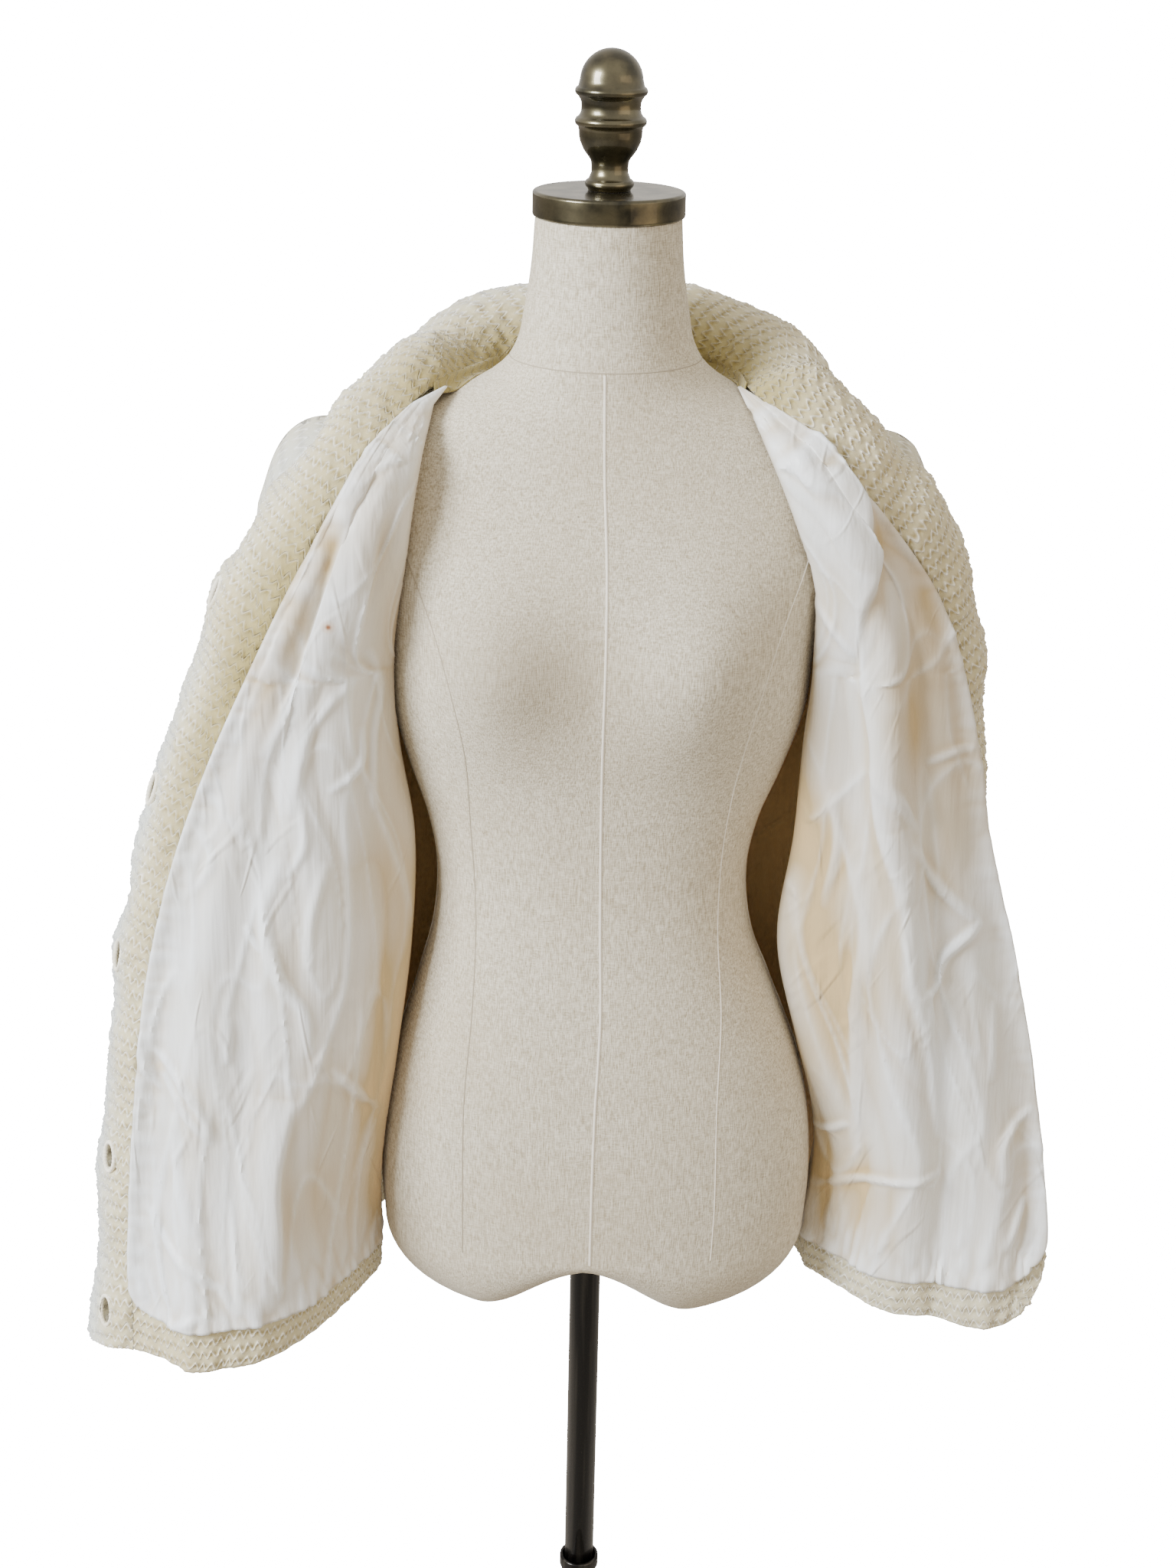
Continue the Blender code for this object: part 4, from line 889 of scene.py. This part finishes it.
# Linings: ivory silk-like cloth sewn in along the seams, laid over the knit with soft creases.
# A fine grid on each panel's own surface; creases are listed as seen from the front.
silk = new_material("ivory_silk_lining", Roughness=0.42, Sheen_Weight=0.2, Specular_IOR_Level=0.4)
where = add_node(silk, "TexCoord", {}).outputs["Object"]
weave_at = add_node(silk, "Attribute", {}, attribute_name="weave")
painted_shade_at = add_node(silk, "SeparateXYZ", {0: weave_at.outputs["Vector"]}).outputs[2]
mottle = add_node(silk, "TexNoise", {"Vector": where, "Scale": 13.0, "Detail": 3.0})
# The weave's third value paints warm shade: tan up to 1, orange-tan from 1 to 2
layers = [(add_node(silk, "MapRange", {0: mottle, 1: 0.35, 2: 0.75, 4: 0.4}), 0xEDE9D8),
          (add_node(silk, "MapRange", {0: painted_shade_at}), 0xC2AA7C),
          (add_node(silk, "MapRange", {0: painted_shade_at, 1: 1.0, 2: 2.0}), 0xF4CE92)]
# A small rust stain in a tan halo and a faint tan spot, on the right front's lining, in metres
SPOT_COLUMNS = ("x", "height", "radius", "share", "colour")
SPOTS = ((-0.185, 1.230, 0.0060, 0.50, 0xD9A970), (-0.185, 1.230, 0.0026, 0.9, 0x8E4F1C),
         (-0.316, 0.887, 0.0060, 0.45, 0xD8BE8E))
seen_flat = add_node(silk, "VectorMath", {0: where, 1: (1.0, 0.0, 1.0)}, operation="MULTIPLY")
for x, height, radius, share, colour in SPOTS:
    apart = add_node(silk, "VectorMath", {0: seen_flat, 1: (x, 0.0, height)}, operation="DISTANCE")
    spot = add_node(silk, "MapRange", {0: apart, 1: radius * 0.3, 2: radius, 3: share, 4: 0.0})
    layers.append((spot, colour))
tone = to_linear(0xF4F8FA)
for share, colour in layers:
    tone = add_node(silk, "Mix", {0: share, 6: tone, 7: to_linear(colour)}, data_type="RGBA")
wrinkle_place = add_node(silk, "Mapping", {"Vector": where, "Scale": (130, 130, 11)})
wrinkles = add_node(silk, "TexNoise", {"Vector": wrinkle_place, "Scale": 1.0})
bump = add_node(silk, "Bump", {"Height": wrinkles, "Strength": 0.55, "Distance": 0.0022})
# Fine sharp creases: the thin lines where a stretched noise crosses its middle, slanting two ways
for slant, seed in ((0.12, 0.0), (-0.42, 7.0)):
    slanted = add_node(silk, "Mapping", {"Vector": where, "Location": (seed, seed, seed),
                                         "Rotation": (0.0, slant, 0.0)})
    line_place = add_node(silk, "Mapping", {"Vector": slanted, "Scale": (26, 9, 5.5)})
    line_noise = add_node(silk, "TexNoise", {"Vector": line_place, "Scale": 1.0, "Detail": 1.5,
                                             "Distortion": 0.3})
    off_middle = add_node(silk, "Math", {0: line_noise, 1: 0.5}, operation="SUBTRACT")
    beside_line = add_node(silk, "Math", {0: off_middle}, operation="ABSOLUTE")
    line = add_node(silk, "MapRange", {0: beside_line, 1: 0.0, 2: 0.036, 3: 1.0, 4: 0.0},
                    interpolation_type="SMOOTHSTEP")
    broken = add_node(silk, "TexNoise", {"Vector": slanted, "Scale": 15.0})
    kept = add_node(silk, "MapRange", {0: broken, 1: 0.46, 2: 0.62})
    kept_line = add_node(silk, "Math", {0: line, 1: kept}, operation="MULTIPLY")
    bump = add_node(silk, "Bump", {"Height": kept_line, "Strength": 0.8, "Distance": 0.0009,
                                   "Normal": bump})
grain_place = add_node(silk, "Mapping", {"Vector": where, "Scale": (700, 700, 60)})
grain = add_node(silk, "TexNoise", {"Vector": grain_place, "Scale": 1.0})
bump = add_node(silk, "Bump", {"Height": grain, "Strength": 0.15, "Distance": 0.0004, "Normal": bump})
set_shader(silk, Base_Color=tone, Normal=bump)

# Creases in millimetres, each from its top down through (distance from the middle, height)
CREASE_COLUMNS = ("depth", "inner_width", "outer_width", "points")
CREASES = {
    "right": (
        (4.8, 16, 3.5, ((147, 1355), (165, 1324), (178, 1283), (189, 1241), (235, 1130))),
        (3, 4, 6, ((163, 1338), (180, 1299), (208, 1237), (240, 1167), (258, 1126))),
        (3, 3.5, 12, ((143, 1324), (153, 1302), (161, 1271), (172, 1200))),
        (2.2, 3, 3, ((162, 1209), (156, 1181), (162, 1138), (162, 1080))),
        (2, 3, 5, ((172, 1189), (183, 1177), (196, 1159), (216, 1085))),
        (2, 3, 3, ((170, 1150), (173, 1119), (191, 1102))),
        (2.8, 3, 6, ((222, 1055), (234, 1010), (227, 963), (210, 930), (208, 894))),
        (2, 3, 4, ((193, 1050), (205, 1002), (206, 965))),
        (1.8, 3, 3, ((209, 1101), (208, 1061), (222, 1036))),
        (1.8, 3, 3, ((286, 1081), (271, 1056), (286, 1024))),
        (1.6, 2.5, 2.5, ((252, 1002), (239, 980))),
        (2.4, 3, 4, ((330, 915), (326, 886), (316, 868))),
        (3, 3, 3, ((324, 905), (305, 885), (287, 857), (280, 828))),
        (2, 3, 3, ((316, 890), (296, 853), (283, 833))),
        (2.4, 3.5, 4, ((303, 853), (303, 799), (293, 757))),
        (1.8, 2.5, 3, ((265, 930), (268, 891))),
        (1.8, 2.5, 3, ((267, 784), (260, 694))),
        (2.2, 3, 4, ((332, 778), (309, 744), (276, 716), (259, 694))),
        (2.6, 3, 3, ((288, 698), (314, 679))),
        (6, 4, 22, ((222, 862), (235, 799), (236, 741), (237, 690))),
        (1.8, 3, 3, ((194, 881), (172, 844), (160, 824))),
    ),
    "left": (
        (7, 22, 3, ((119, 1369), (153, 1344), (178, 1302), (183, 1263), (180, 1200))),
        (5, 3.5, 16, ((187, 1262), (188, 1195), (199, 1141), (204, 1089), (223, 1016))),
        (5, 3.5, 20, ((208, 1075), (223, 1016), (235, 945), (250, 897), (268, 810))),
        (3, 4, 8, ((180, 1070), (200, 999), (199, 931), (206, 844), (210, 787))),
        (2.2, 3, 3, ((150, 1245), (162, 1229), (181, 1206))),
        (2.2, 3, 3, ((198, 1122), (213, 1098), (230, 1068))),
        (1.8, 3, 3, ((235, 1122), (253, 1128), (272, 1130))),
        (4.8, 3, 5, ((286, 993), (262, 969), (249, 943), (238, 939))),
        (2.8, 3, 4, ((222, 1062), (258, 1018), (286, 989))),
        (2.2, 3, 3, ((244, 946), (250, 900))),
        (2.6, 3, 3, ((174, 793), (187, 798), (204, 815))),
        (2.8, 3, 4, ((342, 832), (320, 806), (321, 768))),
        (2.8, 3, 4, ((341, 755), (334, 732), (327, 710))),
        (1.8, 3, 3, ((301, 925), (306, 857))),
        (2.4, 3, 3, ((180, 735), (221, 767), (272, 784))),
        (2, 3, 4, ((172, 1100), (178, 1060), (170, 1000))),
    ),
}
# Painted warm shade, as soft patches where the silk lies in shade
PAINTED_SHADE_COLUMNS = ("x", "height", "half_width", "half_height", "share")
PAINTED_SHADE_PATCHES = {
    "right": (
        (198, 780, 46, 120, 0.46), (150, 1000, 26, 200, 0.60), (150, 1255, 14, 60, 0.50),
        (186, 1292, 9, 34, 0.50), (206, 1235, 11, 36, 0.50), (232, 1180, 13, 40, 0.35),
        (155, 790, 30, 130, 0.65),
    ),
    "left": (
        (222, 1190, 24, 95, 0.80), (192, 1290, 12, 50, 0.40), (262, 1090, 32, 85, 0.50),
        (164, 1245, 13, 34, 0.40), (160, 1060, 24, 110, 0.75), (188, 930, 36, 110, 0.80),
        (200, 745, 45, 60, 0.80), (330, 800, 18, 160, 0.35),
    ),
}


CREASE_STEPS = 39
FULLNESS = 1.35


def crease_lift(x, z, creases):
    """How far the cloth stands out at each place, from creases drawn from their top down."""
    lift = np.zeros_like(x)
    for depth, inner_width, outer_width, points in creases:
        path = np.array(points) / 1000
        knots = run_length(path)
        along = np.linspace(0, knots[-1], CREASE_STEPS + 1)
        path = curve(knots, path, along)
        tangent = unit(np.gradient(path, axis=0))
        apart_x = x[..., None] - path[:, 0]
        apart_z = z[..., None] - path[:, 1]
        nearest = np.hypot(apart_x, apart_z).argmin(axis=-1)
        dx = np.take_along_axis(apart_x, nearest[..., None], -1)[..., 0]
        dz = np.take_along_axis(apart_z, nearest[..., None], -1)[..., 0]
        off = tangent[nearest, 0] * dz - tangent[nearest, 1] * dx
        passed = tangent[nearest, 0] * dx + tangent[nearest, 1] * dz
        passed = nearest + passed / knots[-1] * CREASE_STEPS
        width = np.where(off > 0, outer_width, inner_width) / 1000
        fading = np.sin(np.pi * np.clip(passed / CREASE_STEPS, 0, 1)) ** 0.7
        lift += depth / 1000 * np.exp(-(off / width) ** 2) * fading
    return lift


for label, side in SIDES.items():
    top = FRONT_ROWS[label][-1, 0] - 0.0068
    stations = even_stations(label, 0.0022)
    heights = np.linspace(HEM + LINING_HEM - 0.002, top, 312)
    points = front_surface(label, stations, heights, heights[0], LINING_CORNERS[label])
    out = facing(points, side)
    across = run_length(points, 1)
    from_band = across[:, -1:] - across
    from_hem = points[..., 2] - heights[0]
    shown = ease(stations, 4.5, 7.5)
    lift = crease_lift(np.abs(points[..., 0]), points[..., 2], CREASES[label]) * shown
    gathers = np.abs(soft_noise(across, from_hem * 0.25, 0.007, 61 + side))
    lift += 0.0013 * gathers * bell(from_hem, 0.004, 0.030) * shown
    puckers = np.abs(soft_noise(across * 0.3, from_hem, 0.011, 63 + side))
    lift += (0.0008 if side < 0 else 0.0003) * puckers * bell(from_band, 0.003, 0.014) * shown
    lift += 0.0014 * np.abs(soft_noise(across, from_hem * 0.22, 0.034, 65 + side)) * shown
    for seed, size, depth in ((67, 0.034, 0.0013), (68, 0.020, 0.0007)):
        lines = np.abs(soft_noise(across, from_hem * 0.20, size, seed + side))
        lift += depth * (1 - np.minimum(lines, 1)) ** 7 * shown
    lift *= FULLNESS
    valleys = np.clip((softened(lift, 16) - lift) / 0.0011, -0.6, 1.0)
    lift += 0.0024 * np.exp(-(from_band / 0.006) ** 2) * shown + 0.0014 * np.exp(-(from_hem / 0.008) ** 2)
    # Painted shade: tan in the crease valleys, towards the bend by the form, in the patches and in a strip
    # along the knit border
    painted_shade = 0.08 + 0.30 * valleys + 0.35 * ease(stations, 7.5, 5.0)
    for x, height, half_width, half_height, share in np.array(PAINTED_SHADE_PATCHES[label]) / ([1000] * 4 + [1]):
        patch = bell(np.abs(points[..., 0]), x, half_width) * bell(points[..., 2], height, half_height)
        painted_shade = painted_shade + share * patch
    painted_shade += 0.22 * bell(from_band, 0.012, 0.012) * ease(points[..., 2], 1.060, 1.160)
    painted_shade = np.clip(painted_shade * (1 + 0.15 * soft_noise(across, from_hem * 0.5, 0.03, 69 + side)), 0, 1.3)
    points = points + out * (0.0013 + lift)[..., None]
    edge_turn = np.array([0.0012, 0.0022])[None, :, None]
    rolled = points[:, -1:] + unit(points[:, -1] - points[:, -3])[:, None] * edge_turn
    rolled = rolled - out[:, -1:] * np.array([0.0003, 0.0014])[None, :, None]
    points = np.concatenate([points, rolled], axis=1)
    weave = np.stack([across, from_hem, painted_shade], axis=-1)
    weave = np.pad(weave, ((0, 0), (0, 2), (0, 0)), mode="edge")
    tip = bands[label].read(bands[label].stops[bands[label].front_rows - 1] + LINING_TIPS[label])[:3]
    share = np.linspace(0, 0.93, 14)[1:, None, None]
    end = points[-1] * (1 - share) + (tip - np.array([side * 0.004, 0.005, 0.0])) * share
    end[..., 2] = np.maximum(end[..., 2], form_top(end[..., 0], end[..., 1]) + 0.0022)
    points = np.concatenate([points, end])
    weave = np.concatenate([weave, np.broadcast_to(weave[-1], end.shape)])
    lining = grid_piece(label + "_front_silk", points, silk, weave)
    add_wall(lining, LINING_WALL, side)
    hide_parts(label + "_front_lining")
    width, length, area = {"right": (0.31, 0.80, 0.182), "left": (0.27, 0.81, 0.171)}[label]

# Painted warm shade: a tone of 2 makes the back lining orange-tan where it shows in the shaded gap at the
# waist
weave = np.zeros_like(back_lining_points)
weave[..., 2] = 2.0
back_silk = grid_piece("back_silk", back_lining_points, silk, weave)
add_wall(back_silk, LINING_WALL, 1)
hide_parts("back_lining")


# Sleeves: knit tubes set into the armholes, open at the cuff, hanging behind the fronts. A grid
# round each tube through its rings, with soft folds, walled with the knit's thickness.
SLEEVE_COLUMNS = ("inner_x", "inner_z", "outer_x", "outer_z", "mid_y", "half_depth")
SLEEVE_RINGS = {
    "right": np.array((
        (185.5, 1185, 185.5, 1343, 30, 48), (193, 1182, 213, 1340, 30, 49),
        (196, 1176, 234, 1318, 30, 49), (197, 1160, 248, 1274, 31, 48),
        (198, 1125, 260, 1200, 34, 45), (198.5, 1050, 273, 1095, 38, 41),
        (200, 960, 290, 975, 42, 37), (206, 870, 301, 878, 45, 34),
        (212, 786, 306, 792, 48, 32))) / 1000,
    "left": np.array((
        (185.5, 1185, 185.5, 1343, 30, 48), (193, 1182, 212, 1339, 30, 49),
        (196, 1176, 230, 1314, 31, 49), (197, 1160, 240, 1266, 35, 47),
        (198, 1125, 246, 1190, 41, 44), (198.5, 1050, 258, 1085, 47, 40),
        (201, 960, 274, 972, 54, 36), (206, 870, 286, 878, 60, 34),
        (212, 786, 294, 792, 64, 32))) / 1000,
}
SLEEVE_RADIUS = 0.045
SET_IN = 0.0044
for label, side in SIDES.items():
    rings = SLEEVE_RINGS[label]
    along = np.linspace(0, 1, 96)
    read = curve(np.linspace(0, 1, len(rings)), rings, along).T[..., None]
    inner_x, inner_z, outer_x, outer_z, mid_y, half_depth = read
    angle = np.linspace(0, 2 * np.pi, 57)
    share = (np.cos(angle) + 1) / 2
    x = inner_x + (outer_x - inner_x) * share
    z = inner_z + (outer_z - inner_z) * share
    points = np.stack([side * x, mid_y + half_depth * np.sin(angle), z], axis=-1)
    centre = points[:, :-1].mean(axis=1, keepdims=True)
    length = run_length(centre)
    folds = soft_noise(np.sin(angle) * 0.03, length + np.cos(angle) * 0.02, 0.03, 71 + side)
    sink = -0.0030 * np.abs(folds) * ease(along, 0.0, 0.15)[:, None]
    points = points + unit(points - centre) * sink[..., None]
    points[0, :, 0] -= side * SET_IN
    rows = stitch_counts(0 * length, length + 0 * angle, 73)[1]
    stitches = np.round(2 * np.pi * SLEEVE_RADIUS / STITCH) * angle / (2 * np.pi)
    # Painted cool light: the front of each sleeve's head is greyer, most on the right sleeve
    painted_light_on_head = ease(points[..., 2], 1.18, 1.31) * ease(points[..., 1], 0.045, 0.0)
    weave = knit_weave(stitches, rows, KNIT_GREY + (0.5 if side < 0 else 0.2) * painted_light_on_head)
    sleeve = grid_piece(label + "_sleeve_knit", points, knit, weave, around=True)
    add_wall(sleeve, KNIT_WALL, 1 if side < 0 else -1)
    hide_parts(label + "_sleeve")
    width, length, area = {"right": (0.41, 0.52, 0.132), "left": (0.40, 0.50, 0.118)}[label]


# Buttons: five round cream resin buttons on short shanks, sewn to the hidden outer face of the
# left band. Each is one spun profile with a dished face, placed square to the band.
resin = new_material("cream_resin_button", Roughness=0.35, Base_Color=to_linear(0xDDD0AE))
BUTTON_PROFILE = [
    (0, 7.4), (6, 7.5), (7.5, 8), *arc(9.4, 7, 1.8, 110, 10, 6), (11.5, 6.6), (11.2, 5.4),
    (10.4, 4.8), (2.6, 4.8), (2.5, 0), (0, 0)]
for number, height in enumerate(BUTTON_HEIGHTS, start=1):
    band = bands["left"]
    points, normal = band.surface([band.along_at(height)], np.array([[BAND_WIDTH / 2]]))
    out = Vector(-normal[0, 0])
    foot = Vector(points[0, 0]) + out * 0.0062
    place = Matrix.Translation(foot) @ out.to_track_quat("Z", "Y").to_matrix().to_4x4()
    button = turned("button_%d_turned" % number, BUTTON_PROFILE, resin, "form", place)
    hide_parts("button_%d" % number)


# Studio: pale floor that glows nearly white to the camera alone, the camera where the
# photographer stood, a broad soft window to the left and a pale, warm room round it.
floor_paint = new_material("pale_floor", Roughness=0.9, Base_Color=to_linear(0x958F86))
FLOOR_GLOW = 20.0
floor_ray = add_node(floor_paint, "LightPath", {}).outputs["Is Camera Ray"]
floor_glow = add_node(floor_paint, "Math", {0: floor_ray, 1: FLOOR_GLOW}, operation="MULTIPLY")
set_shader(floor_paint, Emission_Color=to_linear(0xFFFFFF), Emission_Strength=floor_glow)
bm = bmesh.new()
bmesh.ops.create_grid(bm, x_segments=1, y_segments=1, size=40.0)
mesh = bpy.data.meshes.new("floor")
bm.to_mesh(mesh)
bm.free()
mesh.materials.append(floor_paint)
floor = bpy.data.objects.new("floor", mesh)
bpy.context.scene.collection.objects.link(floor)

camera = bpy.data.objects.new("camera", bpy.data.cameras.new("camera"))
camera.data.lens = 52.73
camera.data.sensor_width = 36.0
tilt = Matrix.Rotation(math.radians(67.7), 4, "X") @ Matrix.Rotation(math.radians(1.2), 4, "Z")
camera.matrix_world = Matrix.Translation((-0.006, -1.585, 1.728)) @ tilt
bpy.context.scene.collection.objects.link(camera)
bpy.context.scene.camera = camera

LIGHT_COLUMNS = ("name", "place", "aim", "size", "watts", "colour")
LIGHTS = (
    ("window", (-2.5, -1.7, 2.6), (0.0, 0.0, 1.1), 1.3, 262.0, 0xF1F5FC),
    ("room", (2.2, -1.6, 1.4), (0.0, 0.0, 1.0), 2.2, 14.0, 0xFFE4C2),
)
for name, place, aim, size, watts, colour in LIGHTS:
    lamp = bpy.data.lights.new(name, "AREA")
    lamp.size = size
    lamp.energy = watts
    lamp.color = to_linear(colour)[:3]
    light = bpy.data.objects.new(name, lamp)
    aimed = (Vector(aim) - Vector(place)).to_track_quat("-Z", "Y").to_matrix().to_4x4()
    light.matrix_world = Matrix.Translation(place) @ aimed
    bpy.context.scene.collection.objects.link(light)
world = bpy.data.worlds.new("pale_room")
world.use_nodes = True
world.node_tree.nodes["Background"].inputs[0].default_value = to_linear(0xFAF5EC)
world.node_tree.nodes["Background"].inputs[1].default_value = 1.05
bpy.context.scene.world = world
